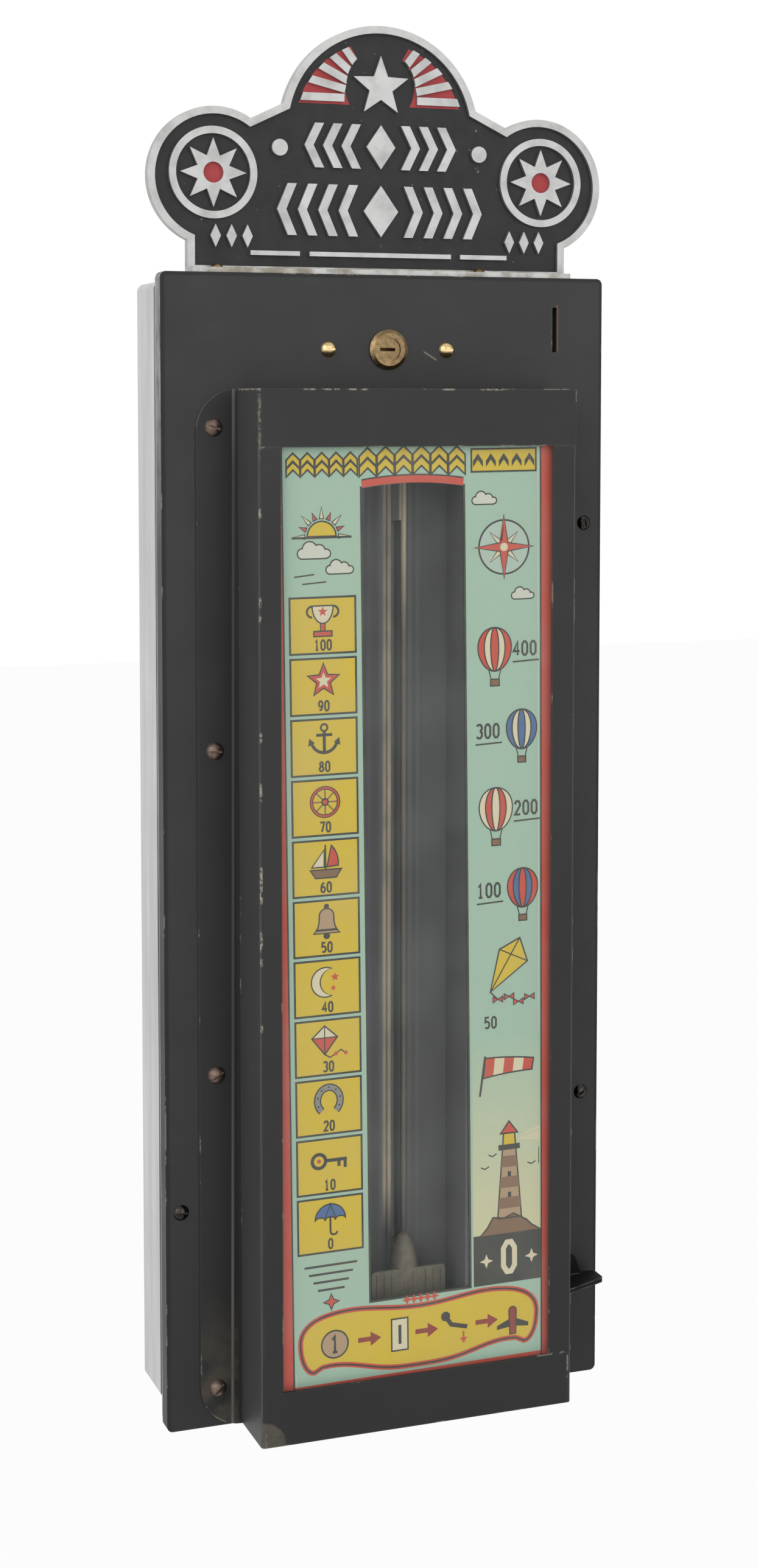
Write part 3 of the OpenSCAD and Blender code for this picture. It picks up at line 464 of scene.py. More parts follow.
def scratched(tree, body):
    """The line z - z0 + slope (x - x0) = 0, cut short by the distance from its middle."""
    across, up = axes(tree, 0, 2)
    aside = times(tree, maths(tree, "SUBTRACT", across, SCRATCH[0] * MM), SCRATCH_SLOPE)
    rise = maths(tree, "SUBTRACT", up, BASE_Z + SCRATCH[1] * MM)
    off_line = maths(tree, "ABSOLUTE", maths(tree, "ADD", rise, aside))
    short = ramp(tree, distance_from(tree, *SCRATCH), 4.6 * MM, 3.2 * MM)
    return coat(tree, body, times(tree, short, ramp(tree, off_line, 0.7 * MM, 0.2 * MM)), 0.5, FLAKE)


def lit_slot_wall(tree, body):
    """A painted highlight of the slot's lit inner wall: an upright line as tall as the slot, just to the
    right of it.
    """
    across, up = axes(tree, 0, 2)
    beside = ramp(tree, away_from(tree, across, SLOT_WALL_LINE[0] * MM), 0.9 * MM, 0.5 * MM)
    above = away_from(tree, up, BASE_Z + SLOT_WALL_LINE[1] * MM)
    along = ramp(tree, above, (SLOT_WALL_HALF + 0.5) * MM, (SLOT_WALL_HALF - 0.5) * MM)
    return coat(tree, body, times(tree, beside, along), 0.5, LIT_SLOT_WALL_COPPER)


def pale_side_edge(tree, body):
    """Pale, mottled colour on the outermost third of a millimetre, growing with height."""
    outermost = less(tree, axis_value(tree, 0), panel_low.x + 0.35 * MM)
    mottle = ramp(tree, speckle(tree, 120, 5, 0.7, (1, 1, 0.5)), 0.32, 0.62, 0.25, 1.0)
    pale_edge = times(tree, outermost, facing_left(tree), by_height(tree, 430, 505, 0.03, 0.9), mottle)
    return mix(tree, pale_edge, body, SIDE_EDGE_PALE)


# %% [markdown]
# Now the coats are laid one over the other. Smaller flakes come from chance after all: they
# are where an edge and a coarse noise meet. Flakes are also a little rougher than paint.

# %% Enamel: all coats
EDGE_SHEEN_AND_WEAR = (0.20, 0.19, 0.18)


def black_enamel():
    """The coats in order, each laid over the last, and a gloss rougher on the flakes."""
    made, tree, shader = finish("black_enamel")
    edge = near_edges(tree, 1.1 * MM, 0.90, 0.995)
    by_chance = times(tree, edge, ramp(tree, speckle(tree, 34, 5, 0.7), 0.58, 0.62), 0.7)
    chips = either(tree, by_chance, times(tree, known_chips(tree), 0.8))
    # pale edges: part wear, part a painted highlight along every edge
    body = coat(tree, enamel_ground(tree), edge, 0.20, EDGE_SHEEN_AND_WEAR)
    body = flange_highlights_and_dirt(tree, painted_shade_by_place(tree, body))
    body = mix(tree, chips, body, FLAKE)
    for mark in (worn_corner, scratched, lit_slot_wall, pale_side_edge):
        body = mark(tree, body)
    plug(tree, shader.inputs["Base Color"], body)
    rough = ramp(tree, speckle(tree, 24, 5), 0.3, 0.7, 0.42, 0.54)
    plug(tree, shader.inputs["Roughness"], maths(tree, "ADD", rough, times(tree, chips, 0.15)))
    shader.inputs["Specular IOR Level"].default_value = 0.32
    plug(tree, shader.inputs["Normal"], bump(tree, speckle(tree, 420, 2), 0.06, 0.4 * MM))
    print("enamel:", len(tree.nodes), "shader nodes")
    return made


# %% [markdown]
# ## Bright metals
# The box and the door frame are plated sheet that has gone softly grey, with faint runs
# down their height. The works are oily steel, and the lock is brass with a brown bloom. All
# of them are one function with other colours: a noise drawn out along the height gives the
# runs, a coarse one gives the stains, and the gloss follows the runs.

# %% Bright metals


def sheet_metal(name, colour, dark, scale, gloss, stretch=(1, 1, 0.06), stain=0.35):
    """Plated metal: runs along Z, broad stains, and a gloss that varies with both."""
    made, tree, shader = finish(name)
    runs = speckle(tree, scale, 4, 0.6, stretch)
    stains = ramp(tree, speckle(tree, scale / 9, 4), 0.45, 0.75)
    tone = mix(tree, ramp(tree, runs, 0.25, 0.75), dark, colour)
    plug(tree, shader.inputs["Base Color"], coat(tree, tone, stains, stain, dark))
    shader.inputs["Metallic"].default_value = 1.0
    plug(tree, shader.inputs["Roughness"], ramp(tree, runs, 0.2, 0.8, gloss - 0.06, gloss + 0.08))
    plug(tree, shader.inputs["Normal"], bump(tree, runs, 0.05, 0.3 * MM))
    return made


def box_sheet():
    """The wall box, the door frame and the cash tray."""
    return sheet_metal("box_sheet", (0.685, 0.685, 0.682), (0.455, 0.455, 0.455), 160, 0.38)


def works_steel():
    """All plain steel behind the front: hinge, shafts, arms, rail, chute and spring."""
    return sheet_metal("works_steel", (0.50, 0.50, 0.51), (0.24, 0.23, 0.22), 220, 0.34)


def small_brass(name, colour, dark, scale, gloss, stain):
    """A small turned piece has no runs, only grain, so its noise isn't drawn out."""
    return sheet_metal(name, colour, dark, scale, gloss, (1, 1, 1), stain)


def lock_brass():
    """The lock, the screws of the crest, the lever's bush and the slider, under a brown bloom."""
    return small_brass("lock_brass", (0.36, 0.25, 0.125), (0.10, 0.068, 0.036), 420, 0.30, 0.75)


def brown_screw():
    """Screws in the flanges, dull and brown."""
    return small_brass("brown_screw", (0.26, 0.19, 0.155), (0.09, 0.065, 0.055), 700, 0.46, 0.5)


def black_screw():
    """Screws in the panel, nearly as black as the enamel."""
    return small_brass("black_screw", (0.075, 0.068, 0.062), (0.012, 0.011, 0.0105), 700, 0.18, 0.7)


def bright_brass():
    """The two screws beside the lock."""
    return small_brass("bright_brass", (0.86, 0.66, 0.36), (0.45, 0.31, 0.14), 600, 0.24, 0.3)


# %% [markdown]
# Two finishes hardly mirror at all. The rod behind the slot is under a coat of grey dust,
# and the aeroplane is brass that nobody has polished for decades.

# %% Dull metals


def dull_grey(name, dark, pale):
    """Metal under a coat of fine grey dust, which scatters what little light gets in."""
    made, tree, shader = finish(name)
    dust = ramp(tree, speckle(tree, 150, 4, 0.6, (1, 1, 0.2)), 0.3, 0.7)
    tone = mix(tree, dust, (dark, dark, dark), (pale, pale, pale * 0.97))
    plug(tree, shader.inputs["Base Color"], tone)
    plug(tree, shader.inputs["Roughness"], ramp(tree, dust, 0, 1, 0.55, 0.75))
    return made


def old_brass():
    """Oxide has closed over the brass, so it scatters light like a dull paint and barely mirrors."""
    made, tree, shader = finish("old_brass")
    grain = ramp(tree, speckle(tree, 260, 5, 0.7), 0.3, 0.7)
    tone = mix(tree, grain, (0.085, 0.076, 0.056), (0.145, 0.126, 0.088))
    streak = ramp(tree, speckle(tree, 120, 3, 0.6, (1, 1, 0.25)), 0.5, 0.68)
    plug(tree, shader.inputs["Base Color"], coat(tree, tone, streak, 0.5, (0.20, 0.172, 0.118)))
    shader.inputs["Metallic"].default_value = 0.12
    plug(tree, shader.inputs["Roughness"], ramp(tree, grain, 0.0, 1.0, 0.62, 0.50))
    plug(tree, shader.inputs["Normal"], bump(tree, speckle(tree, 700, 3), 0.1, 0.3 * MM))
    return made


# %% [markdown]
# ## Track
# The trough behind the card is dark grey and streaked, and its right part is painted paler: painted light
# that lifts the shade there. Decades of the aeroplane's stem have rubbed the two raised lips beside the slot
# down to bare, tan metal, and fainter grey lines run farther out. The finish finds each line by its place
# across the track, and a small table says how wide it is and how strong from the foot to the top.

# %% Track finish
TRACK_X = 4.0
TRACK_DARK = (0.062, 0.062, 0.063)
TRACK_GREY = (0.082, 0.082, 0.083)
# painted light for the right part of the trough
TRACK_RIGHT_PAINTED_LIGHT = (0.125, 0.125, 0.125)
TRACK_FOOT = (0.125, 0.125, 0.122)
LIP_TAN = (0.52, 0.445, 0.325)
STREAK_GREY = (0.165, 0.165, 0.165)
# each lip: place across, half width in mm, then its strength low down and at the top
WORN_LIPS = ((-1.2, 2.0, 0.92, 0.64), (7.2, 1.6, 0.22, 1.0))
# each streak: place across, half width in mm, then its strength
STREAKS = ((-10.6, 1.5, 0.42), (-4.2, 1.2, 0.40), (10.9, 1.2, 0.36), (15.3, 1.0, 0.28))


def line_at(tree, where_mm, half_mm):
    """1 on a line up the track, from half its width outwards fading to 0."""
    away = away_from(tree, axis_value(tree, 0), where_mm * MM)
    return ramp(tree, away, half_mm * 1.35 * MM, half_mm * 0.5 * MM)


def dark_track():
    """Grey runs, painted light to the right, paler low down, then the streaks, then the worn lips."""
    made, tree, shader = finish("dark_track")
    across, depth = axes(tree, 0, 1)
    runs = speckle(tree, 210, 4, 0.6, (1, 1, 0.03))
    tone = mix(tree, ramp(tree, runs, 0.3, 0.7), TRACK_DARK, TRACK_GREY)
    # painted light: the right part of the trough is lifted out of its shade
    tone = mix(tree, ramp(tree, across, 12 * MM, 27 * MM, 0.0, 0.6), tone, TRACK_RIGHT_PAINTED_LIGHT)
    tone = mix(tree, by_height(tree, 260, 90, 0.0, 0.35), tone, TRACK_FOOT)
    patchy = ramp(tree, speckle(tree, 60, 4, 0.6, (1, 1, 0.35)), 0.34, 0.62, 0.45, 1.0)
    for where, half, strength in STREAKS:
        tone = coat(tree, tone, times(tree, line_at(tree, where, half), patchy), strength, STREAK_GREY)
    front = ramp(tree, depth, FACE_Y + 0.5 * MM, FACE_Y - 0.5 * MM)
    above_foot = by_height(tree, 88, 112)
    for where, half, low, top in WORN_LIPS:
        strength = by_height(tree, 385, 432, low, top)
        worn = times(tree, line_at(tree, where, half), strength, patchy, front, above_foot)
        tone = mix(tree, worn, tone, LIP_TAN)
    plug(tree, shader.inputs["Base Color"], tone)
    plug(tree, shader.inputs["Roughness"], ramp(tree, runs, 0.2, 0.8, 0.5, 0.62))
    shader.inputs["Specular IOR Level"].default_value = 0.3
    return made


# %% [markdown]
# ## Crest
# The crest is an aluminium casting. Its rim and its raised decoration are ground bright, the
# field between them is painted black, and the grooves between the rays are painted red. One
# finish does all three: height in the casting tells the bright tops from the field, and
# distance from the sunburst's middle tells the red field from the black.

# %% Crest finish
STAR_UP = 657.0
STAR_CLEAR = 18
DOME_UP = 635.0
DOME_INNER = 43.9
ROSETTE = (85.5, 613.0)
HUB_R = 5.2
FIRST_RAY_SLOPE = 0.6
FIELD_DEPTH = (11.6, 12.4)
CREST_BRIGHT = (0.475, 0.475, 0.47)
CREST_GRIME = (0.29, 0.29, 0.285)
CREST_SPOT = (0.20, 0.185, 0.16)
CREST_STAIN = (0.20, 0.165, 0.11)
CREST_BLACK = (0.011, 0.011, 0.0112)
CREST_RED = (0.42, 0.045, 0.050)


def painted_field(tree):
    """1 on the sunk field: it looks forward and lies between two depths."""
    depth = axis_value(tree, 1)
    low, high = (FACE_Y + value * MM for value in FIELD_DEPTH)
    return times(tree, less(tree, axis_value(tree, 1, "Normal"), -0.5),
                 more(tree, depth, low), less(tree, depth, high))


def red_field(tree):
    """1 between the rays, inside the dome and clear of the star, and on the two hubs."""
    sideways = maths(tree, "ABSOLUTE", axis_value(tree, 0))
    climb = maths(tree, "SUBTRACT", axis_value(tree, 2), BASE_Z + (STAR_UP - 6) * MM)
    rays = times(tree, less(tree, distance_from(tree, 0, DOME_UP), DOME_INNER * MM),
                 more(tree, distance_from(tree, 0, STAR_UP), STAR_CLEAR * MM),
                 more(tree, axis_value(tree, 2), BASE_Z + (DOME_UP + 13) * MM),
                 more(tree, sideways, times(tree, climb, FIRST_RAY_SLOPE)))
    return either(tree, rays, less(tree, distance_from(tree, *ROSETTE, both_sides=True), HUB_R * MM))


def crest_metal():
    """Bright metal with grime, spots and a stained foot; paint covers it on the field."""
    made, tree, shader = finish("crest_metal")
    grime = ramp(tree, speckle(tree, 120, 4), 0.45, 0.7)
    bright = coat(tree, CREST_BRIGHT, grime, 0.5, CREST_GRIME)
    spots = ramp(tree, speckle(tree, 75, 3, 0.6), 0.68, 0.76)
    bright = coat(tree, bright, spots, 0.5, CREST_SPOT)
    stain = times(tree, by_height(tree, 571, 567.5), ramp(tree, speckle(tree, 60, 4), 0.42, 0.6))
    bright = coat(tree, bright, stain, 0.75, CREST_STAIN)
    paint = mix(tree, red_field(tree), CREST_BLACK, CREST_RED)
    scuffs = ramp(tree, speckle(tree, 260, 5, 0.7), 0.67, 0.73)
    kept = maths(tree, "SUBTRACT", 1.0, times(tree, scuffs, 0.45))
    covered = times(tree, painted_field(tree), kept)
    plug(tree, shader.inputs["Base Color"], mix(tree, covered, bright, paint))
    plug(tree, shader.inputs["Metallic"], times(tree, maths(tree, "SUBTRACT", 1.0, covered), 0.85))
    plug(tree, shader.inputs["Roughness"], ramp(tree, speckle(tree, 90, 4), 0.3, 0.7, 0.42, 0.55))
    plug(tree, shader.inputs["Normal"], bump(tree, speckle(tree, 700, 3), 0.12, 0.4 * MM))
    plug(tree, shader.inputs["Specular IOR Level"], ramp(tree, covered, 0, 1, 0.5, 0.36))
    return made


# %% [markdown]
# ## Glass, rubber, the lever and bare card
# The pane is thin window glass seen nearly square on, so it is almost nothing but a faint gloss: a mostly
# transparent surface with a smooth reflection. The lever is painted matt black, and a painted highlight
# makes its edges paler. The card's own green shows wherever nothing is printed, and its cut edges are nearly
# black.

# %% Glass, rubber, lever, card stock


def window_glass():
    """Alpha stays under a twentieth, and grows a little where the pane is smeared."""
    made, tree, shader = finish("window_glass")
    smear = ramp(tree, speckle(tree, 22, 5), 0.4, 0.75, 0.015, 0.04)
    shader.inputs["Base Color"].default_value = (0.80, 0.86, 0.84, 1)
    plug(tree, shader.inputs["Roughness"], ramp(tree, speckle(tree, 40, 3), 0.3, 0.7, 0.05, 0.14))
    plug(tree, shader.inputs["Alpha"], smear)
    return made


def black_rubber():
    """Buffers and stop: two near blacks under a dull gloss."""
    made, tree, shader = finish("black_rubber")
    tone = mix(tree, speckle(tree, 300), (0.012, 0.012, 0.012), (0.03, 0.03, 0.03))
    plug(tree, shader.inputs["Base Color"], tone)
    plug(tree, shader.inputs["Roughness"], ramp(tree, speckle(tree, 200), 0.3, 0.7, 0.7, 0.85))
    return made


def lever_black():
    """The lever and its cap: near black, with a painted highlight, grey where an edge and a noise meet."""
    made, tree, shader = finish("lever_black")
    # painted highlight along the edges
    edge_highlight = times(tree, near_edges(tree, 1.4 * MM, 0.85, 0.99), ramp(tree, speckle(tree, 130), 0.4, 0.6))
    tone = mix(tree, speckle(tree, 80), (0.004, 0.004, 0.004), (0.008, 0.008, 0.008))
    plug(tree, shader.inputs["Base Color"], mix(tree, edge_highlight, tone, (0.16, 0.155, 0.15)))
    plug(tree, shader.inputs["Roughness"], ramp(tree, speckle(tree, 90), 0.3, 0.7, 0.55, 0.7))
    shader.inputs["Specular IOR Level"].default_value = 0.12
    return made


def card_stock():
    """Green fibres on both faces; dark wherever the surface looks sideways."""
    made, tree, shader = finish("card_stock")
    fibre = speckle(tree, 1500, 3, 0.6, (1, 1, 0.4))
    tone = mix(tree, fibre, (0.33, 0.51, 0.40), (0.39, 0.57, 0.46))
    cut_edge = less(tree, maths(tree, "ABSOLUTE", axis_value(tree, 1, "Normal")), 0.5)
    plug(tree, shader.inputs["Base Color"], mix(tree, cut_edge, tone, (0.045, 0.043, 0.036)))
    shader.inputs["Roughness"].default_value = 0.75
    return made


# %% [markdown]
# Each CAD node already names the material slot it is made of, so one table from slot to
# finish dresses the whole model. A second table names the few nodes that look unlike the
# rest of their slot, such as the screws at the lock, which stayed bright.

# %% Dress the CAD nodes
FINISH_OF_SLOT = {
    "black_enamel": black_enamel(), "zinc_sheet": box_sheet(), "steel_parts": works_steel(),
    "dark_metal": dark_track(), "brass_parts": lock_brass(), "aged_brass": old_brass(),
    "dull_screws": brown_screw(), "cast_alloy": crest_metal(), "clear_glass": window_glass(),
    "printed_card": card_stock(), "black_rubber": black_rubber(), "lever_black": lever_black()}
FINISH_OF_NODE = {
    "panel_screws": black_screw(), "lock_screws": bright_brass(),
    "guide_rod": dull_grey("dull_rod", 0.22, 0.28)}

for part in frame["record"]["subparts"]:
    mesh = frame["nodes"][part["node"]].data
    mesh.materials.clear()
    mesh.materials.append(FINISH_OF_NODE.get(part["node"], FINISH_OF_SLOT[part["material_slot"]]))

# %% [markdown]
# The slot in the track shows no dark gap on the real object: something pale stands behind
# it. A narrow grey strip does that here. It hangs from the upper rod bracket by a bent foot,
# clear of the carriage and the kicker, which both move in front of it.

# %% Strip behind the slot
STRIP_X, STRIP_DEPTH, STRIP_UP = (10.2, 15.6), (21.0, 21.6), (58.0, 454.0)
STRIP_THICK = 0.6
FOOT_DEPTH = 12.8


def box_corners(across, depth, up):
    """The eight corners of a box given as three low-high pairs in millimetres."""
    return [place(x, y, z) for z in up for y in depth for x in across]


BOX_FACES = np.array([
    (0, 2, 3, 1), (4, 5, 7, 6), (0, 1, 5, 4), (2, 6, 7, 3), (0, 4, 6, 2), (1, 3, 7, 5)])
bent_foot = box_corners(STRIP_X, (FOOT_DEPTH, STRIP_DEPTH[0]), (STRIP_UP[1] - STRIP_THICK, STRIP_UP[1]))
strip_mesh = bpy.data.meshes.new("slot_strip")
strip_mesh.from_pydata(box_corners(STRIP_X, STRIP_DEPTH, STRIP_UP) + bent_foot, [],
                       np.vstack([BOX_FACES, BOX_FACES + len(bent_foot)]).tolist())
strip_mesh.materials.append(dull_grey("strip_grey", 0.80, 0.84))
slot_strip = bpy.data.objects.new("slot_strip", strip_mesh)
bpy.context.scene.collection.objects.link(slot_strip)
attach(slot_strip, "door")
print("slot strip:", len(strip_mesh.polygons), "faces")

# %% [markdown]
# The return spring hangs from a post on the panel and pulls on the drive arm, so it grows longer when the
# lever is struck. A stiff coil would cut into the arm. A copy of the packed coil stands in for it instead.

# %% Return spring
coil = frame["nodes"]["lever_spring"]
return_spring = bpy.data.objects.new("return_spring", coil.data.copy())
bpy.context.scene.collection.objects.link(return_spring)
return_spring.matrix_world = coil.matrix_world.copy()
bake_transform(return_spring)
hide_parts("lever_spring")
print("return spring:", len(return_spring.data.vertices), "points")

# %% [markdown]
# ## Drawing with ink
# The card was printed in flat colours one over the other, and so is this one. A shape is a
# flat polygon with a colour and a layer number; each layer lies a fiftieth of a millimetre
# nearer the glass than the last, and shapes of one layer that follow each other differ by a
# thousandth, so that no two lie in the same plane. All shapes become a single mesh with a
# colour per corner, which the ink's material reads.

# %% Ink shapes
LAYER_STEP = 0.020 * MM
SHEET_STEP = 0.0012 * MM
STEPS_IN_LAYER = 16


def disc(cx, cz, radius, sides=28, squash=1.0):
    """Points of a circle: centre plus radius times (cos a, squash sin a)."""
    turn = np.linspace(0, 2 * np.pi, sides, endpoint=False)
    return np.column_stack([cx + radius * np.cos(turn), cz + radius * squash * np.sin(turn)])


def block(x0, z0, x1, z1):
    """The four corners of an upright rectangle."""
    return np.array([[x0, z0], [x1, z0], [x1, z1], [x0, z1]], float)


def star(cx, cz, outer, inner, points=5):
    """Radius alternates between outer and inner every half step round the circle."""
    turn = np.pi / 2 + np.arange(2 * points) * np.pi / points
    reach = np.where(np.arange(2 * points) % 2 == 0, outer, inner)
    return np.column_stack([cx + reach * np.cos(turn), cz + reach * np.sin(turn)])


def arc(cx, cz, radius, start, end, steps=16, squash=1.0):
    """Points along part of a circle, angles in degrees."""
    turn = np.radians(np.linspace(start, end, steps))
    return np.column_stack([cx + radius * np.cos(turn), cz + radius * squash * np.sin(turn)])


# %% [markdown]
# A pen line is a row of quads. At a corner both quads share a slanting end, which must be
# longer than the line is wide: half the width is divided by the cosine of half the turn. At a
# very sharp corner that would shoot far out, so the cosine is kept at a half or more.

# %% Pen lines


def stroke(points, width, closed=False):
    """A pen line: at each point the path's normal, times half the width, to either side."""
    line = np.asarray(points, float)
    if closed:
        ahead, behind = np.roll(line, -1, 0), np.roll(line, 1, 0)
    else:
        ahead = np.vstack([line[1:], line[-1:]])
        behind = np.vstack([line[:1], line[:-1]])
    into, out = line - behind, ahead - line
    into = np.where(np.abs(into).sum(1, keepdims=True) > 0, into, out)
    out = np.where(np.abs(out).sum(1, keepdims=True) > 0, out, into)
    into /= np.linalg.norm(into, axis=1, keepdims=True)
    out /= np.linalg.norm(out, axis=1, keepdims=True)
    side = np.column_stack([-(into + out)[:, 1], (into + out)[:, 0]])
    side /= np.maximum(np.linalg.norm(side, axis=1, keepdims=True), 1e-6)
    normal = np.column_stack([-out[:, 1], out[:, 0]])
    square_on = np.maximum((side * normal).sum(1, keepdims=True), 0.5)
    side *= width / 2 / square_on
    left, right = line + side, line - side
    last = len(line) if closed else len(line) - 1
    nxt = (np.arange(last) + 1) % len(line)
    return list(np.stack([left[:last], right[:last], right[nxt], left[nxt]], 1))


# %% [markdown]
# All shapes end up in one mesh. An outline that runs clockwise would face the back of the
# card, so it is turned round: the sum of x z' - x' z over its corners is twice its area, and
# negative if it runs that way.

# %% One mesh of ink


def ink(name, sheets, body, y_front):
    """Builds one mesh from (polygon or polygons, colour, layer) triples.
    A colour is one (r, g, b), or one row per corner for a blend."""
    corners, faces, colours, first = [], [], [], 0
    for shape, colour, layer in sheets:
        for outline in (shape if isinstance(shape, list) else [shape]):
            ahead = np.roll(outline, -1, 0)
            twice_area = (outline[:, 0] * ahead[:, 1] - ahead[:, 0] * outline[:, 1]).sum()
            tint = np.broadcast_to(np.asarray(colour, float), (len(outline), 3))
            if twice_area < 0:
                outline, tint = outline[::-1], tint[::-1]
            count = len(outline)
            y = y_front - (layer + 1) * LAYER_STEP - len(faces) % STEPS_IN_LAYER * SHEET_STEP
            x, z = outline[:, 0] * MM, BASE_Z + outline[:, 1] * MM
            corners.append(np.column_stack([x, np.full(count, y), z]))
            colours.append(np.column_stack([tint, np.ones(count)]))
            faces.append(tuple(range(first, first + count)))
            first += count
    mesh = bpy.data.meshes.new(name)
    mesh.from_pydata(np.vstack(corners).tolist(), [], faces)
    layer = mesh.color_attributes.new("ink", "FLOAT_COLOR", "CORNER")
    layer.data.foreach_set("color", np.vstack(colours).astype(np.float32).ravel())
    made = bpy.data.objects.new(name, mesh)
    bpy.context.scene.collection.objects.link(made)
    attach(made, body)
    print(name, "-", len(faces), "inked shapes")
    return made


# %% [markdown]
# The ink takes its colour from the mesh. Age has yellowed it in broad clouds, and the grain
# of the card shows through it as fine dark specks.

# %% Ink finish
OLD_PAPER = (0.40, 0.36, 0.20)
PRINT_GRAIN = (0.16, 0.16, 0.12)


def printers_ink():
    """Ink colour from the mesh, mottled by age, slightly glossy."""
    made, tree, shader = finish("printers_ink")
    colour = node(tree, "ShaderNodeVertexColor", layer_name="ink").outputs["Color"]
    age = ramp(tree, speckle(tree, 45, 5, 0.65), 0.35, 0.75)
    grain = ramp(tree, speckle(tree, 1300, 2), 0.62, 0.72)
    yellowed = coat(tree, colour, age, 0.12, OLD_PAPER)
    plug(tree, shader.inputs["Base Color"], coat(tree, yellowed, grain, 0.16, PRINT_GRAIN))
    shader.inputs["Roughness"].default_value = 0.55
    return made


# %% [markdown]
# ## The printed card
# A mint ground with red edges. At the left a ladder of eleven yellow tiles, each with a sign and a number;
# at the right balloons and a lighthouse; a ribbon of chevrons over the track, and under it a label with a
# wavy foot. The pictures are plain signs of our own: weather, sails and tools, with numbers to play for. The
# real card had slipped round in its frame, so its print leans: all that is printed on it, but for the red
# borders at its sides and foot, is turned by two thirds of a degree about the middle of the track. What is
# seen of its red borders narrows towards the top or the foot, so their inner edges are given by two points
# each.

# %% Card colours and places
MINT = (0.355, 0.520, 0.400)
RED = (0.55, 0.066, 0.040)
YELLOW = (0.64, 0.465, 0.030)
CREAM = (0.68, 0.62, 0.42)
DARK = (0.022, 0.024, 0.022)
GREY = (0.24, 0.24, 0.22)
BLUE = (0.065, 0.14, 0.30)
BROWN = (0.20, 0.11, 0.055)
PALE = (0.60, 0.62, 0.52)
SKY = (0.42, 0.54, 0.46)
CRIMSON = (0.26, 0.03, 0.025)
TAN = (0.42, 0.29, 0.17)

CARD_X0, CARD_X1 = card_low.x / MM, card_high.x / MM
CARD_Z0, CARD_Z1 = (card_low.z - BASE_Z) / MM, (card_high.z - BASE_Z) / MM
OPEN_X0, OPEN_X1 = -22.1, 30.2
OPEN_Z0, OPEN_Z1, ARCH_RISE = 64.6, 462.4, 2.0
LEFT_X0, LEFT_X1 = -59.0, -26.0
RIGHT_X0, RIGHT_X1 = 33.8, 68.8
BORDER_LEFT = ((-59.3, CARD_Z0), (-64.7, CARD_Z1))
BORDER_RIGHT = ((71.4, CARD_Z0), (68.5, CARD_Z1))
# the turn in radians, and the height that it leaves in place
PRINT_TURN = 0.0117
TURN_UP = 262.0


def lean(outline):
    """Turns points (x, z) by the small angle t: x + t (z0 - z), z + t (x - x0)."""
    across, up = outline[:, 0], outline[:, 1]
    return np.column_stack([across + PRINT_TURN * (TURN_UP - up), up + PRINT_TURN * (across - TRACK_X)])


def changed(sheets, change):
    """The same sheets, with each of their outlines passed through a function."""
    return [([change(part) for part in shape] if isinstance(shape, list) else change(shape), colour, layer)
            for shape, colour, layer in sheets]


def moved(sheets, x, z, share=1.0):
    """A drawing made about its own middle, scaled by share and put at (x, z)."""
    return changed(sheets, lambda outline: outline * share + [x, z])


# %% [markdown]
# The opening over the track was cut with the print, so it leans too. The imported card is
# cut straight, so a board with the leaning opening stands in for it: the opening's outline
# and the card's outline have as many points each, and rings of quads join them into a
# plate with a front, a back, an inner edge and an outer edge.

# %% The board
ARCH_STEPS = 13
along = np.linspace(0, 1, ARCH_STEPS)
arch = np.column_stack([OPEN_X1 + (OPEN_X0 - OPEN_X1) * along,
                        OPEN_Z1 + ARCH_RISE * (1 - (2 * along - 1) ** 2)])
head = np.column_stack([CARD_X1 + (CARD_X0 - CARD_X1) * along, np.full(ARCH_STEPS, CARD_Z1)])
opening = lean(np.vstack([[[OPEN_X0, OPEN_Z0], [OPEN_X1, OPEN_Z0]], arch]))
rim_line = np.vstack([[[CARD_X0, CARD_Z0], [CARD_X1, CARD_Z0]], head])


def board():
    """Four rings of corners: hole and rim in front, then both behind. Corner k of a ring and
    the next one, with the same two corners of another ring, make a quad."""
    outline = np.vstack([opening, rim_line, opening, rim_line])
    depth = np.repeat([card_low.y, card_high.y], 2 * len(opening))
    corners = np.column_stack([outline[:, 0] * MM, depth, BASE_Z + outline[:, 1] * MM])
    pair = np.array([np.arange(len(opening)), np.roll(np.arange(len(opening)), -1)])
    hole, rim, far_hole, far_rim = [pair + k * len(opening) for k in range(4)]
    joined = ((hole, rim), (far_hole[::-1], far_rim[::-1]), (hole[::-1], far_hole[::-1]), (rim, far_rim))
    quads = np.array([(a[0], a[1], b[1], b[0]) for a, b in joined]).transpose(2, 0, 1).reshape(-1, 4)
    mesh = bpy.data.meshes.new("card_board")
    mesh.from_pydata(corners.tolist(), [], quads.tolist())
    made = bpy.data.objects.new("card_board", mesh)
    bpy.context.scene.collection.objects.link(made)
    made.data.materials.append(FINISH_OF_SLOT["printed_card"])
    return made


card_board = board()
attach(card_board, "door")
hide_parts("art_card")
print("card board:", len(card_board.data.polygons), "faces")

# %% [markdown]
# Plain numbers count the score. A font would bring its own outlines and far more points
# than so small a print shows, so each figure is a few pen strokes in a box one unit wide and
# two high. A stroke that ends where it began is a loop.

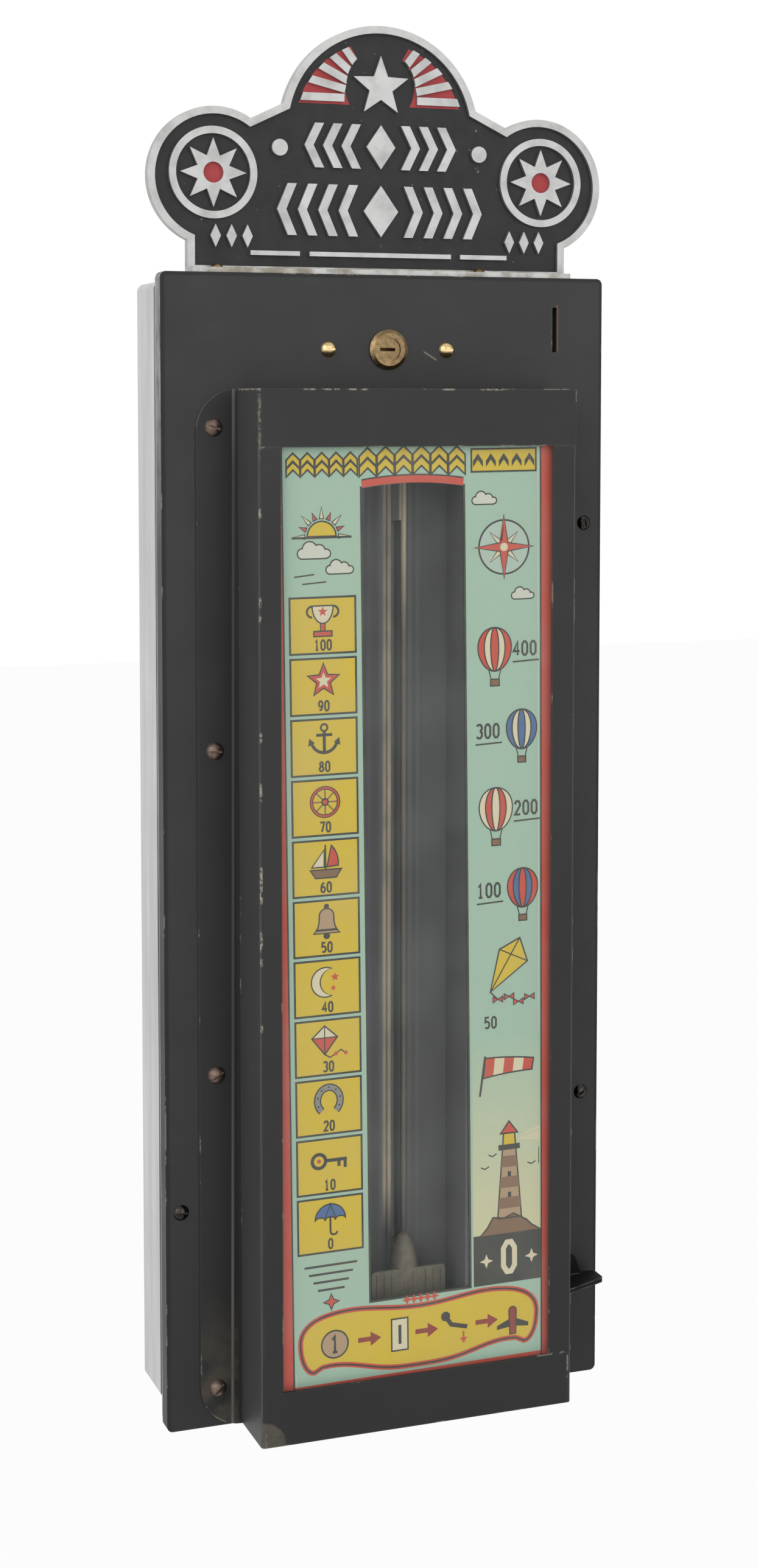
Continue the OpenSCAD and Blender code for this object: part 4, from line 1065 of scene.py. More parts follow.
# %% Numbers
FIGURES = {
    "0": [[(0.1, 0.4), (0.1, 1.6), (0.35, 2), (0.65, 2), (0.9, 1.6), (0.9, 0.4), (0.65, 0), (0.35, 0),
           (0.1, 0.4)]],
    "1": [[(0.2, 1.55), (0.5, 2), (0.5, 0)], [(0.2, 0), (0.8, 0)]],
    "2": [[(0.1, 1.55), (0.3, 2), (0.7, 2), (0.9, 1.6), (0.9, 1.3), (0.1, 0), (0.95, 0)]],
    "3": [[(0.1, 1.8), (0.35, 2), (0.7, 2), (0.9, 1.7), (0.9, 1.3), (0.6, 1.05)],
          [(0.6, 1.05), (0.9, 0.8), (0.9, 0.3), (0.65, 0), (0.3, 0), (0.1, 0.25)]],
    "4": [[(0.7, 0), (0.7, 2), (0.05, 0.6), (1, 0.6)]],
    "5": [[(0.85, 2), (0.2, 2), (0.15, 1.15), (0.6, 1.25), (0.9, 0.95), (0.9, 0.35), (0.6, 0), (0.1, 0.15)]],
    "6": [[(0.8, 1.9), (0.4, 1.8), (0.1, 1.1), (0.1, 0.35), (0.35, 0), (0.7, 0), (0.9, 0.4), (0.9, 0.8),
           (0.65, 1.15), (0.3, 1.1), (0.12, 0.8)]],
    "7": [[(0.05, 2), (0.95, 2), (0.4, 0)]],
    "8": [[(0.5, 1.1), (0.2, 1.35), (0.2, 1.75), (0.5, 2), (0.8, 1.75), (0.8, 1.35), (0.5, 1.1)],
          [(0.5, 1.1), (0.1, 0.75), (0.1, 0.3), (0.5, 0), (0.9, 0.3), (0.9, 0.75), (0.5, 1.1)]],
    "9": [[(0.2, 0.1), (0.6, 0.2), (0.9, 0.9), (0.9, 1.65), (0.65, 2), (0.3, 2), (0.1, 1.6), (0.1, 1.2),
           (0.35, 0.85), (0.7, 0.9), (0.88, 1.2)]]}


def pen(points, width, colour=DARK, layer=3, closed=False):
    """One pen line, ready to print."""
    return (stroke(points, width, closed), colour, layer)


def number(value, cx, z, high, width, colour, layer):
    """Strokes of a whole number, centred on cx and standing on z."""
    unit = high / 2
    pitch = unit * 1.35
    start = cx - (len(value) * pitch - (pitch - unit)) / 2
    made = []
    for i, figure in enumerate(value):
        for line in FIGURES[figure]:
            loop = line[0] == line[-1]
            path = np.array(line[:-1] if loop else line) * unit + [start + i * pitch, z]
            made.append(pen(path, width, colour, layer, loop))
    return made


# %% [markdown]
# ## Signs for the yellow tiles
# Each sign is drawn about its own middle, in millimetres, as a list of filled shapes and pen
# lines; the column then shrinks it a little and puts it in its tile. The first six follow.

# %% Signs: cup, star, anchor, wheel, boat, bell
PEN = 0.75


def outlined(shape, colour, layer=3, width=PEN):
    """A filled shape with a dark pen line round it."""
    return [(shape, colour, layer), pen(shape, width, DARK, layer + 1, True)]


def sign_cup():
    """Half an oval for the bowl, two half circles for the ears, and blocks below."""
    bowl = arc(0, 7.6, 6.0, 180, 360, 16, 1.6)
    ears = [pen(arc(side * 6.0, 4.4, 3.0, -90, 90 if side > 0 else -270, 10), 1.2) for side in (-1, 1)]
    stem, base = block(-1.3, -6.2, 1.3, -1.6), block(-5.2, -9.0, 5.2, -6.2)
    return (ears + outlined(stem, RED, 3, 0.6) + outlined(bowl, CREAM, 4) + outlined(base, RED)
            + [(star(0, 4.4, 2.9, 1.2), RED, 6)])


def sign_star():
    """A star with a smaller one on it."""
    return outlined(star(0, 0, 9.6, 4.1), RED) + [(star(0, 0, 4.6, 2.0), CREAM, 5)]


def sign_anchor():
    """A straight shank, an arc of a circle for the arms, and one fluke with its mirror image."""
    fluke = np.array([[9.2, -2.4], [5.4, -0.6], [8.6, 2.0]])
    return [pen([(0, 6), (0, -6.4)], 1.7), pen(arc(0, 1.5, 7.6, 200, 340, 18), 1.7),
            pen([(-4.6, 3.6), (4.6, 3.6)], 1.6), pen(arc(0, 7.6, 1.9, 0, 340, 16), 1.1, closed=True),
            (fluke * [-1, 1], DARK, 4), (fluke, DARK, 4)]


def sign_wheel():
    """Eight spokes from 1.6 to 7 mm along (cos a, sin a), and a red rim on a dark one."""
    spokes = [pen(np.outer((1.6, 7.0), (math.cos(a), math.sin(a))), 0.8, BROWN)
              for a in np.radians(np.arange(0, 360, 45))]
    rim = arc(0, 0, 7.8, 0, 348, 30)
    return spokes + [pen(rim, 2.0, DARK, 4, True), pen(rim, 0.9, RED, 5, True),
                     (disc(0, 0, 2.2), DARK, 4), (disc(0, 0, 1.3), RED, 5)]


def sign_boat():
    """A hull with four corners, a jib with three, and a mainsail with a round edge."""
    hull = np.array([[-9, -4], [9, -4], [6, -8.6], [-6, -8.6]])
    main = np.vstack([[[0.6, -2.6]], arc(-6.8, -0.6, 14.0, -6, 44, 9)])
    jib = np.array([[-1.0, -2.6], [-1.0, 6.8], [-8.2, -2.6]])
    mast = pen([(-0.2, -4), (-0.2, 9.6)], 0.9, DARK, 4)
    return outlined(hull, BROWN) + outlined(jib, CREAM) + outlined(main, RED) + [mast]


def sign_bell():
    """Its side widens with the cube of the way down; the edge starts and ends at one point."""
    down = np.linspace(0, 1, 8)
    flare = np.column_stack([4.2 + 3.2 * down ** 3, 3.5 - 9.5 * down])
    dome = np.vstack([arc(0, 3.5, 4.2, 180, 0, 12), flare, (flare * [-1, 1])[::-1]])
    dome[0] = dome[-1]
    return ([(disc(0, -7.4, 1.9), DARK, 3), (disc(0, 8.8, 1.5), DARK, 3)] + outlined(dome, TAN)
            + [pen([(-6.2, -4.2), (6.2, -4.2)], 1.2, DARK, 5)])


# %% [markdown]
# The other five. A crescent has a hollow side, and a filled outline with a deep hollow can
# come out wrong, so the moon is two discs: a smaller one of the tile's yellow covers part of
# the pale one.

# %% Signs: moon, kite, horseshoe, key, umbrella


def sign_moon():
    """A pale disc, a yellow one over it 4.7 mm to the right, each on a dark one, and two stars."""
    discs = [(disc(-1, 0, 8.6, 40), DARK, 2), (disc(-1, 0, 7.9, 40), CREAM, 3),
             (disc(3.0, 0, 7.5, 40), DARK, 4), (disc(3.7, 0, 7.5, 40), YELLOW, 5)]
    return discs + [(star(4.4, 2.6, 2.6, 1.1), RED, 6), (star(3.4, -3.4, 1.8, 0.8), RED, 6)]


def sign_kite():
    """Four corners, a pale upper half, two spars, and a tail with two dots."""
    body = np.array([[-2, 9], [5.4, 2.4], [-2, -7], [-9.4, 2.4]])
    tail = [(-2, -7), (1, -8.8), (4.4, -7), (7.4, -5), (10.4, -7.2)]
    return [pen(tail, 0.7)] + outlined(body, RED) + [
        (body[[0, 1, 3]], CREAM, 5), pen(body, PEN, DARK, 6, True), pen(body[[0, 2]], 0.6, DARK, 6),
        pen(body[[1, 3]], 0.6, DARK, 6), (disc(4.4, -7, 1.1), RED, 4), (disc(10.2, -7, 1.1), RED, 4)]


def sign_horseshoe():
    """A thick pen line along an arc open at the foot, with seven nail holes on the same arc."""
    shoe = arc(0, 0.4, 6.6, 232, -52, 26, 1.12)
    holes = arc(0, 0.4, 6.6, 205, -25, 7, 1.12)
    return [pen(shoe, 4.2), pen(shoe, 2.8, GREY, 4)] + [(disc(a, b, 0.55, 8), DARK, 5) for a, b in holes]


def sign_key():
    """A ring, a shank, and two teeth of unlike length."""
    teeth = [pen([(x, 0), (x, -long)], 1.8, DARK, 4) for x, long in ((9, 4.8), (5.4, 3.8))]
    return ([pen(arc(-6.2, 0, 3.9, 0, 345, 22), 1.9, closed=True), pen([(-2.4, 0), (10, 0)], 1.9)]
            + teeth + [(disc(-6.2, 0, 1.2), RED, 4)])


def sign_umbrella():
    """Half a circle above, three flat half ovals below, and a hook ending in an arc. The half
    ovals overlap by a hair, so that the step from one to the next has a direction."""
    hair = 1e-9
    scallops = np.vstack([arc(x, -0.2, 2.95 + hair, 0, 180, 7, 0.55) for x in (5.9, 0, -5.9)])
    canopy = np.vstack([arc(0, 0, 8.8, 180, 0, 22, 0.98), scallops])
    hook = np.vstack([[[0, 9.2], [0, -6.6]], arc(2, -6.8, 2, 180, 350, 8)])
    ribs = [pen([(0, 8.6), (x, 1.2)], 0.5, DARK, 5) for x in (2.9, -2.9)]
    return [pen(hook, 1.1)] + outlined(canopy, BLUE) + ribs


SIGNS = [sign_cup, sign_star, sign_anchor, sign_wheel, sign_boat, sign_bell, sign_moon, sign_kite,
         sign_horseshoe, sign_key, sign_umbrella]

# %% [markdown]
# ## Left column
# Eleven yellow tiles stand one over the other with a narrow green gap between them. In each,
# the sign takes the upper part and its number the foot.

# %% Left column
LEFT_MID = (LEFT_X0 + LEFT_X1) / 2
TILE_TOP = 411.0
TILE_PITCH = 29.2
TILE_H = 26.8
SIGN_SHARE = 0.88
SIGN_DOWN = 10.7
FIGURE_H, FIGURE_PEN, FIGURE_UP = 4.6, 0.9, 1.7


def left_column():
    """Tile i hangs i pitches under the first; its number is 100 less ten times i."""
    made = []
    for i, sign in enumerate(SIGNS):
        top = TILE_TOP - i * TILE_PITCH
        foot = top - TILE_H
        made += outlined(block(LEFT_X0, foot, LEFT_X1, top), YELLOW, 1, 1.0)
        made += moved(sign(), LEFT_MID, top - SIGN_DOWN, SIGN_SHARE)
        made += number(str(100 - 10 * i), LEFT_MID, foot + FIGURE_UP, FIGURE_H, FIGURE_PEN, DARK, 3)
    return made


# %% [markdown]
# ## Right column
# From the top: four balloons with their scores, a kite, a wind sock, and a lighthouse
# against a dawn. A balloon is three ovals of one height and ever smaller width, which makes
# stripes that meet at the top and the foot.

# %% Right column: balloons
RIGHT_MID = (RIGHT_X0 + RIGHT_X1) / 2
# place across, height, half width, colours, score, place of the score
BALLOONS = (
    (46, 382, 9.6, (RED, CREAM), "400", 63),
    (60, 342, 8.8, (BLUE, CREAM), "300", 43),
    (46, 303, 9.6, (CREAM, RED), "200", 63),
    (60, 263, 8.8, (RED, BLUE), "100", 43))


def balloon(size, colours):
    """Ovals (w cos a, 1.12 sin a) times the size, drawn in towards the foot, and a basket."""
    one, two = colours
    turn = np.linspace(0, 2 * np.pi, 32, endpoint=False)
    taper = 1 - 0.16 * (1 - np.sin(turn)) / 2
    made = []
    for share, colour, layer in ((1.0, one, 2), (0.62, two, 3), (0.24, one, 4)):
        gore = np.column_stack([share * taper * np.cos(turn), 1.12 * np.sin(turn)]) * size
        made += outlined(gore, colour, layer, 0.65)
    foot = -1.05 * size
    for side in (-size, size):
        made.append(pen([(side * 0.34, foot + 0.4), (side * 0.2, foot - size * 0.5)], 0.55, DARK, 2))
    basket = block(-size * 0.24, foot - size * 0.82, size * 0.24, foot - size * 0.48)
    return made + outlined(basket, BROWN, 3, 0.6)


# %% [markdown]
# The kite's tail carries a bow at each bend, and the wind sock is cut into five bands that
# grow narrower. Both are outlines of a few straight corners.

# %% Right column: kite and wind sock


def big_kite():
    """As the small one, with a bow of two triangles at each bend of its tail."""
    body = np.array([[8, 14], [12, 2], [-8, -12], [-3, 9]])
    bows = [(-8, -12), (-4, -16), (2, -15), (7, -18), (13, -16)]
    made = [pen(bows, 0.7, DARK, 2)] + outlined(body, YELLOW)
    made += [pen(body[[0, 2]], 0.6, DARK, 5), pen(body[[1, 3]], 0.6, DARK, 5)]
    for bow in bows[1:]:
        for side in (-2.6, 2.6):
            wing = np.array([[0, 0], [side, 1.5], [side, -1.5]]) + bow
            made += outlined(wing, RED, 3, 0.45)
    return made


def wind_sock():
    """Upper edge 8 - 2.2 s^2 and lower edge 4.2 s - 2 - 2.2 s^2 over the way s along it."""
    along = np.linspace(0, 1, 6)
    upper = np.column_stack([-11 + 26 * along, 8 - 2.2 * along ** 2])
    lower = np.column_stack([-12 + 26 * along, -2 + 4.2 * along - 2.2 * along ** 2])
    bands = [(np.array([lower[i], lower[i + 1], upper[i + 1], upper[i]]), RED if i % 2 == 0 else CREAM, 3)
             for i in range(5)]
    pole = pen([(-14, -11), (-11, 9)], 1.1, DARK, 2)
    return [pole] + bands + [pen(np.vstack([lower, upper[::-1]]), PEN, DARK, 4, True)]


# %% [markdown]
# The dawn is twelve strips whose corners carry blended colours, so it fades without a step
# from the card's green to a pale yellow. The tower stands in front of it on a rock.

# %% Right column: lighthouse
DAWN_LOW, DAWN_HIGH = 89, 190
DAWN = (0.62, 0.60, 0.36)
BEAM = (0.64, 0.60, 0.40)
BAND_BROWN = (0.22, 0.12, 0.07)
STRIP_OVER = 1.5


def dawn():
    """Colour is green (1 - s) + yellow s, where s falls from 1 to 0 with height, power 0.8."""
    levels = np.linspace(DAWN_LOW, DAWN_HIGH, 13)
    made = []
    for low, high in zip(levels[:-1], levels[1:]):
        fall = (DAWN_HIGH - np.array([low, low, high, high])) / (DAWN_HIGH - DAWN_LOW)
        share = np.clip(fall, 0, 1)[:, None] ** 0.8
        colour = np.array(MINT) * (1 - share) + np.array(DAWN) * share
        made.append((block(RIGHT_X0 - STRIP_OVER, low, RIGHT_X1 + STRIP_OVER, high), colour, 0))
    return made


def lighthouse():
    """The tower's half width falls from 6.4 to 3.6 mm over its 35 mm; z counts from the sea."""
    rock = np.array([[-16, 0], [-12, 4], [-9, 9], [-3, 8], [2, 10], [9, 6], [12, 3], [17, 0]])
    tower = np.array([[-6.4, 8], [6.4, 8], [3.6, 43], [-3.6, 43]])
    made = outlined(rock, BROWN, 2) + outlined(tower, TAN, 2)
    for share in (0.14, 0.44, 0.74):
        low, half = 8 + 35 * share, 6.4 - 2.8 * share
        band = [[-half, low], [half, low], [half - 0.5, low + 5.6], [-half + 0.5, low + 5.6]]
        made.append((np.array(band), BAND_BROWN, 3))
    for share in (0.3, 0.6):
        made.append((block(-0.9, 8 + 35 * share, 0.9, 10.6 + 35 * share), DARK, 4))
    made += outlined(block(-5.4, 43, 5.4, 45), DARK)
    made += outlined(np.array([[-3.4, 45], [3.4, 45], [3.0, 51], [-3.0, 51]]), YELLOW)
    made += outlined(np.array([[-4.6, 51], [4.6, 51], [0, 57]]), RED)
    for drop in (0, 1):
        beam = [[3.6, 48.6 - drop], [18, 54 - 3 * drop], [18, 51.6 - 6 * drop]]
        made.append((np.array(beam), BEAM, 1))
    for x, z in ((-13, 34), (-9, 40), (12, 34)):
        made.append(pen([(x - 2.2, z + 1), (x, z), (x + 2.2, z + 1.2)], 0.6, DARK, 2))
    return made


# %% [markdown]
# The column puts these at their heights. Its foot is a black block with the starting figure.

# %% Right column: all of it
START_TOP = 89.5
START_FOOT = 64.0


def right_column():
    """Each balloon with its score and a rule under it, then the rest from the top down."""
    made = []
    for x, z, size, colours, score, score_x in BALLOONS:
        made += moved(balloon(size, colours), x, z)
        made += number(score, score_x - 1, z - 3.4, 6.6, 1.1, DARK, 2)
        made.append(pen([(score_x - 7.5, z - 6.6), (score_x + 6.5, z - 6.0)], 0.8, DARK, 2))
    made += moved(big_kite(), RIGHT_MID - 1, 224)
    made += number("50", RIGHT_MID - 9, 194, 5.4, 0.95, DARK, 2)
    made += moved(wind_sock(), RIGHT_MID - 1, 171)
    made += dawn() + moved(lighthouse(), RIGHT_MID + 0.5, DAWN_LOW)
    made.append((block(RIGHT_X0 - STRIP_OVER, START_FOOT, RIGHT_X1 + STRIP_OVER, START_TOP), DARK, 2))
    made += number("0", RIGHT_MID, 69.6, 15.0, 2.7, CREAM, 3)
    return made + [(star(RIGHT_MID + side, 76.2, 3.6, 1.4, 4), CREAM, 3) for side in (-12.2, 12.2)]


# %% [markdown]
# ## Top of the card
# A ribbon of chevrons runs over the left column and the track, and a yellow banner with
# dark ones stands over the right column. Under them are a sunrise, a few clouds and a
# compass rose, to fill the space above both columns as the real print does.

# %% Top: clouds, chevrons and sunrise


def cloud(size):
    """Four discs on a flat base; a wider dark set underneath leaves a line round them."""
    puffs = np.array([(-5, 0, 3.0), (-1.2, 2.2, 4.2), (3.8, 1.2, 3.6), (7.6, -0.2, 2.6)]) * size
    x0, z0, x1, z1 = np.array([-5.2, -3.0, 7.8, 0.8]) * size
    return ([(disc(x, z, r), DARK, 1) for x, z, r in puffs] + [(block(x0, z0, x1, z1), DARK, 1)]
            + [(disc(x, z, r - 0.65), PALE, 2) for x, z, r in puffs]
            + [(block(x0 + 0.6, z0 + 0.65, x1 - 0.4, z1), PALE, 3)])


def chevron(x, z, half, high, thick):
    """An upright arrowhead of even thickness, apex at the top."""
    return np.array([[x - half, z], [x, z + high - thick], [x + half, z],
                     [x + half, z + thick], [x, z + high], [x - half, z + thick]])


def ribbon(x0, x1, z0, z1, count, lift=0.0):
    """Pairs of chevrons; lift (1 - s^2) raises the middle of the row, s from -1 to 1 along it."""
    made = []
    pitch, high = (x1 - x0) / count, z1 - z0
    for i in range(count):
        share = (i + 0.5) / count * 2 - 1
        x, z = x0 + (i + 0.5) * pitch, z0 + lift * (1 - share * share)
        for step in (0, 1):
            shape = chevron(x, z + step * high * 0.38, pitch * 0.47, high * 0.64, high * 0.34)
            made += outlined(shape, YELLOW, 3 + step, 0.9)
    return made


def sunrise():
    """Half a disc, with nine rays turned by a rotation matrix; every other ray is red."""
    made = []
    for i, turn in enumerate(np.radians(np.linspace(0, 180, 9))):
        ray = np.array([[8.4, -1.1], [14.0 if i % 2 == 0 else 12.2, 0], [8.4, 1.1]])
        spin = np.array([[math.cos(turn), math.sin(turn)], [-math.sin(turn), math.cos(turn)]])
        made += outlined(ray @ spin, RED if i % 2 else CREAM, 2, 0.5)
    horizon = pen([(-15, -0.5), (15, -0.5)], 1.0, DARK, 5)
    return made + outlined(arc(0, 0, 7.2, 0, 180, 20), YELLOW) + [horizon]


# %% [markdown]
# The compass rose is a disc with an eight-pointed star and a longer four-pointed one.

# %% Top: all of it
ROSE_UP = 432


def compass_rose():
    """Disc, short-pointed star, long-pointed star and dot, each over the last."""
    return (outlined(disc(0, 0, 13.2, 40), SKY, 1, 0.9) + outlined(star(0, 0, 10.5, 3.4, 8), CREAM, 3, 0.5)
            + outlined(star(0, 0, 15.8, 3.0, 4), RED, 4, 0.6) + [(disc(0, 0, 2.0), CREAM, 6)])


def top_band():
    """Both rows of chevrons, the banner, the sunrise, the clouds and the rose."""
    made = ribbon(LEFT_X0 - 1, -24, 468.5, 479.5, 5) + ribbon(-23.5, 31.5, 467.6, 481, 6, 1.0)
    made += outlined(block(34.5, 469.0, 68.5, 480.0), YELLOW, 2, 0.9)
    made += [(chevron(37.9 + 6.8 * k, 471.2, 2.6, 6.6, 3.0), DARK, 4) for k in range(5)]
    made += moved(sunrise(), LEFT_MID, 440)
    made += moved(cloud(0.95), LEFT_MID - 5, 432) + moved(cloud(0.8), LEFT_MID + 8, 424)
    for x0, z0, x1, z1 in ((-14, 421, -4, 422), (-10, 417.5, 2, 418.3)):
        made.append(pen([(LEFT_MID + x0, z0), (LEFT_MID + x1, z1)], 0.7, DARK, 2))
    made += moved(compass_rose(), RIGHT_MID, ROSE_UP)
    return made + moved(cloud(0.75), RIGHT_MID - 11, 455) + moved(cloud(0.7), RIGHT_MID + 9, 408)


# %% [markdown]
# ## Label at the foot
# The real card says at its foot how to play. Here the same is told without words, from left
# to right: a coin, the slot, the lever struck down, the flyer. The label itself has round
# shoulders, a shallow dip over its middle, and a foot that waves out to a point at each end.

# %% Label: its edge
LABEL_X, LABEL_MID, LABEL_FOOT = 3.7, 47.5, 29.3
LABEL_HALF = 62.3
LABEL_RISE = 14.6
LABEL_DIP = 3.2
LABEL_WAVE = 6.1
# as shares of the half width: how far the dip reaches, where the foot's wave is highest,
# where the corner's point is, and where the foot starts
DIP_END, WAVE_TOP, LABEL_TIP, FOOT_START = 0.65, 0.74, 0.89, 0.82


def label_outline():
    """Edge of the label over the share u of its half width, then its mirror image.
    Shoulders: rise (1 - u^6)^0.45, less a dip of cosine squared in the middle.
    Side: a quarter oval down to the point. Foot: a wave of sine to the power 3.4."""
    out = np.sin(np.linspace(0, np.pi / 2, 20))
    dip = LABEL_DIP * np.cos(np.pi / 2 * np.minimum(out / DIP_END, 1)) ** 2
    shoulder = np.column_stack([out, LABEL_MID + LABEL_RISE * (1 - out ** 6) ** 0.45 - dip])
    turn = np.linspace(np.pi / 2, 0, 8)[1:]
    side = np.column_stack([LABEL_TIP + (1 - LABEL_TIP) * np.sin(turn),
                            LABEL_MID - LABEL_RISE * np.cos(turn)])
    back = np.linspace(FOOT_START, 0, 14)
    foot = np.column_stack([back, LABEL_FOOT + LABEL_WAVE * np.sin(np.pi / 2 * back / WAVE_TOP) ** 3.4])
    half = np.vstack([shoulder, side, foot]) * [LABEL_HALF, 1]
    mirrored = (half * [-1, 1])[::-1][1:-1]
    return np.vstack([half, mirrored]) + [LABEL_X, 0]


# %% [markdown]
# The signs of the label share one line, so their heights count from it.

# %% Label: its signs
SIGN_LINE = 45.8
ARROWS_X = (-29, 1, 33)
COIN_X, FLYER_X = -41, 53


def coin_and_slot():
    """A coin, the arrows between the signs, and a slot in its plate."""
    made = [(disc(COIN_X, 0, 7.2, 36), DARK, 4), (disc(COIN_X, 0, 6.4, 36), TAN, 5)]
    made += number("1", COIN_X, -4.0, 8.0, 1.3, DARK, 6)
    arrow = np.array([[0, -1.2], [6.5, -1.2], [6.5, -3.6], [12, 0], [6.5, 3.6], [6.5, 1.2], [0, 1.2]])
    made += [(arrow + [x, 0], CRIMSON, 4) for x in ARROWS_X]
    return made + outlined(block(-11.5, -8.0, -3.0, 8.0), CREAM, 4) + [
        pen([(-7.2, -4.8), (-7.2, 4.8)], 1.5, DARK, 6)]


def struck_lever():
    """A bent lever, and an arrow that points down from it."""
    return [pen([(17, 5.5), (20, 1.0), (28.5, -1.2)], 2.2, DARK, 4), (disc(17, 5.5, 2.4), DARK, 5),
            pen([(26.5, -3.2), (26.5, -7.8)], 0.9, RED, 4),
            (np.array([[24.6, -6.4], [28.4, -6.4], [26.5, -9.4]]), RED, 5)]


def flyer():
    """One wing and its mirror image under a body with a round nose."""
    wing = np.array([[-1.5, -0.5], [1.4, -0.5], [8.5, -3.5], [8.5, -5.5], [1.4, -4.6], [-1.5, -4.6]])
    body = np.vstack([arc(0, 3.5, 2.0, 180, 0, 10), [[1.6, -8.5], [-1.6, -8.5]]])
    return [(wing, DARK, 4), (wing * [-1, 1], DARK, 4)] + outlined(body, CRIMSON, 5, 0.6)


# %% [markdown]
# Five small stars stand between the label and the track, and under the left column four
# rules grow shorter towards a star.

# %% Foot of the card: all of it
STARS_UP, STARS_PITCH = 62.6, 3.6
RULES_UP = (85.5, 81.5, 77.5, 73.5)


def bottom_band():
    """The label with its signs, the stars over it, and the rules at the left."""
    edge = label_outline()
    made = [(edge, YELLOW, 1), pen(edge, 2.6, RED, 2, True), pen(edge, 0.9, DARK, 3, True)]
    made += moved(coin_and_slot() + struck_lever() + moved(flyer(), FLYER_X, 0), 0, SIGN_LINE)
    made += [(star(TRACK_X + STARS_PITCH * k, STARS_UP, 2.5, 1.1, 4), RED, 4) for k in range(-2, 3)]
    for k, up in enumerate(RULES_UP):
        reach = 13.5 - 2.2 * k
        made.append(pen([(LEFT_MID - reach, up), (LEFT_MID + reach, up + 0.2)], 1.1, DARK, 2))
    return made + outlined(star(LEFT_MID, 67.2, 4.0, 1.6, 4), RED, 2, 0.6)


# %% [markdown]
# ## Printing
# The ground goes on first: quads between the opening's outline and the card's, in the
# card's green, then the red borders, which lie square to the case while the rest leans. All
# other drawings are turned by the lean and printed over it as one mesh.

# %% Print the card
RED_FOOT = ((CARD_X1, 27.4), (CARD_X0, 26.0))
quads = np.stack([rim_line, np.roll(rim_line, -1, 0), np.roll(opening, -1, 0), opening], 1)
ground = [(quad, MINT, -0.5) for quad in quads]
for edge, outer, side in ((BORDER_LEFT, CARD_X0, -1), (BORDER_RIGHT, CARD_X1, 1)):
    inner = np.array(edge)
    border = np.vstack([inner, [[outer, CARD_Z1], [outer, CARD_Z0]]])
    ground += [(border, RED, 6), pen(inner, 0.8, DARK, 7), pen(inner - [side * 1.3, 0], 0.35, PALE, 0)]
ground.append((np.array([[CARD_X0, CARD_Z0], [CARD_X1, CARD_Z0], *RED_FOOT]), RED, 1))
ground.append(pen(opening + np.sign(opening - opening.mean(0)) * 0.45, 0.9, DARK, 1, True))
arch_line = lean(arch[::-1] + [0, 2.0])
ground += [pen(arch_line, 3.6, RED, 5), pen(arch_line + [0, 2.0], 0.7, DARK, 6)]
drawings = changed(left_column() + right_column() + top_band() + bottom_band(), lean)
print_sheet = ink("card_print", ground + drawings, "door", card_low.y)
print_sheet.data.materials.append(printers_ink())

# %% [markdown]
# ## Light
# The photograph is a soft studio shot on white: the black front shows a pale room in its
# gloss and the plated side is almost as bright as the paper. A pale world gives the gloss
# something to show, two broad lamps at the front left and in front give the shading, and a
# floor far below keeps a hint of the object's shadow. Both the world and the floor look
# brighter than the light they give, so the white behind the object stays white while its
# own surfaces keep their tones. The light path node tells the two kinds of rays apart.

# %% World and floor
WORLD_LIGHT, WORLD_SEEN = 0.58, 1.0
FLOOR_GLOW = 0.94
FLOOR_PALE, FLOOR_PALER = (0.80, 0.80, 0.80), (0.84, 0.84, 0.84)
FLOOR_REACH, FLOOR_Z = 12.0, BASE_Z - 0.95


def seen_directly(tree):
    """1 for a ray from the camera, off a gloss or through glass; 0 for one that only lights."""
    rays = node(tree, "ShaderNodeLightPath").outputs
    return either(tree, rays["Is Camera Ray"], rays["Is Glossy Ray"], rays["Is Transmission Ray"])


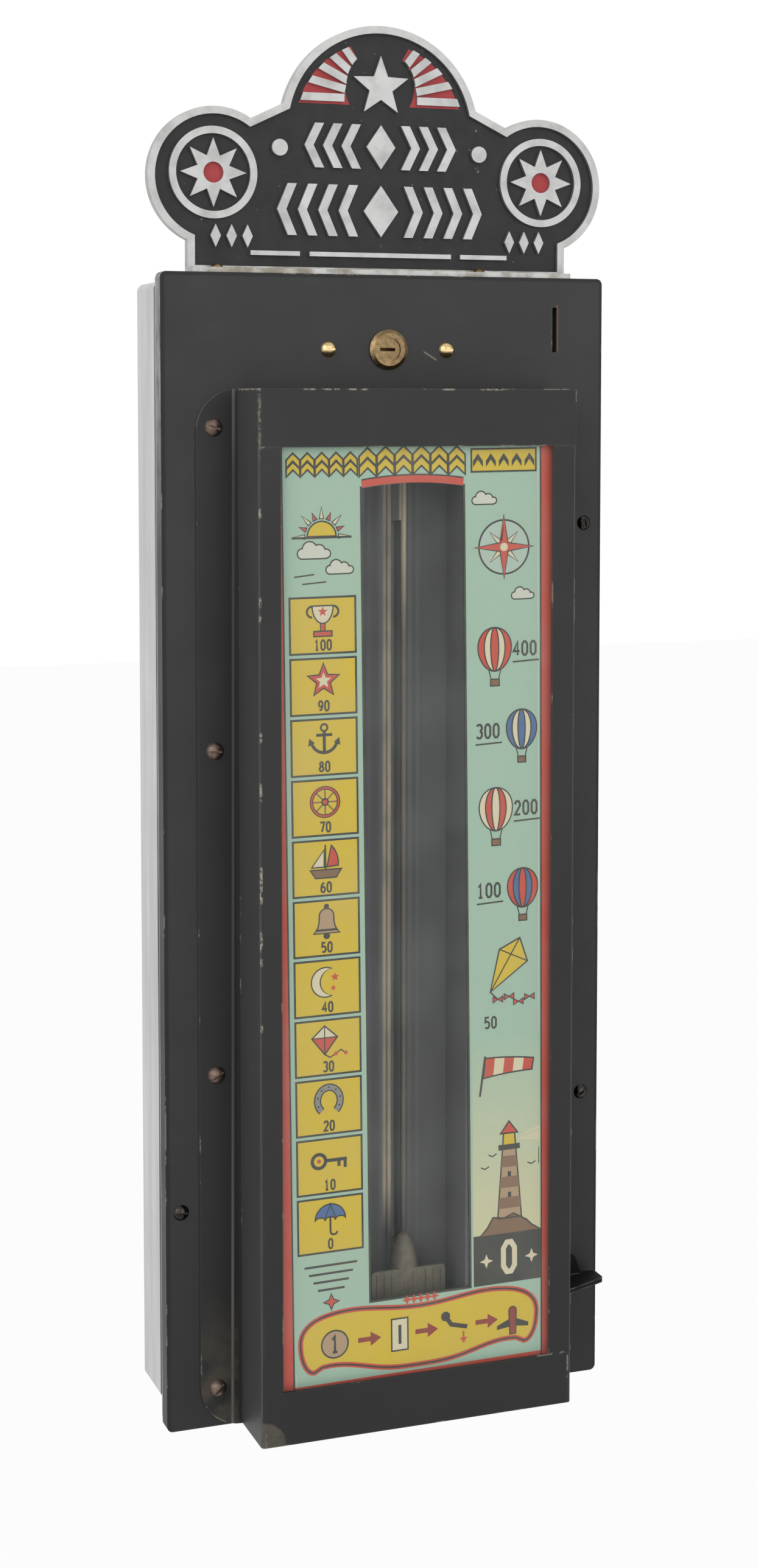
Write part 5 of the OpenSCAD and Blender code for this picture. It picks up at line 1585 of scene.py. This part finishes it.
def pale_floor():
    """A large paper-white plane well under the object, mostly self-lit where it is seen."""
    made, tree, shader = finish("floor_paper")
    plug(tree, shader.inputs["Base Color"], mix(tree, speckle(tree, 3), FLOOR_PALE, FLOOR_PALER))
    shader.inputs["Roughness"].default_value = 0.9
    glow = node(tree, "ShaderNodeEmission", {"Color": (1, 1, 1), "Strength": 1.0})
    blend = node(tree, "ShaderNodeMixShader", {
        0: times(tree, seen_directly(tree), FLOOR_GLOW), 1: shader.outputs[0], 2: glow.outputs[0]})
    plug(tree, tree.nodes["Material Output"].inputs["Surface"], blend.outputs[0])
    mesh = bpy.data.meshes.new("floor")
    square = block(-FLOOR_REACH, -FLOOR_REACH, FLOOR_REACH, FLOOR_REACH)
    mesh.from_pydata([(x, y, FLOOR_Z) for x, y in square.tolist()], [], [(0, 1, 2, 3)])
    mesh.materials.append(made)
    floor = bpy.data.objects.new("floor", mesh)
    bpy.context.scene.collection.objects.link(floor)


scene = bpy.context.scene
scene.view_settings.view_transform = "Standard"
world = bpy.data.worlds.new("studio")
scene.world = world
world.use_nodes = True
air = world.node_tree
background = air.nodes["Background"]
plug(air, background.inputs["Strength"], ramp(air, seen_directly(air), 0, 1, WORLD_LIGHT, WORLD_SEEN))
background.inputs["Color"].default_value = (1, 1, 1, 1)
pale_floor()

# %% [markdown]
# An area lamp shines along its own -Z axis. To aim it, that axis is tipped up from straight
# down and then turned round the upright, by two angles taken from the line to the target.

# %% Lamps


def soft_lamp(name, spot, aim, size, watts):
    """A square area lamp at spot, turned so that its -Z axis points at aim."""
    data = bpy.data.lights.new(name, "AREA")
    data.size = size
    data.energy = watts
    lamp = bpy.data.objects.new(name, data)
    lamp.location = spot
    toward = np.array(aim) - np.array(spot)
    yaw = math.atan2(-toward[0], toward[1])
    tip = math.atan2(np.hypot(toward[0], toward[1]), -toward[2])
    lamp.rotation_euler = Euler((tip, 0, yaw))
    scene.collection.objects.link(lamp)
    print(f"{name}: {watts} W, {size} m")


soft_lamp("window_left", (-2.4, -2.0, 1.3), (0, 0, 0), 2.8, 40)
soft_lamp("window_front", (1.0, -2.8, 0.9), (0, 0, 0), 2.6, 17)
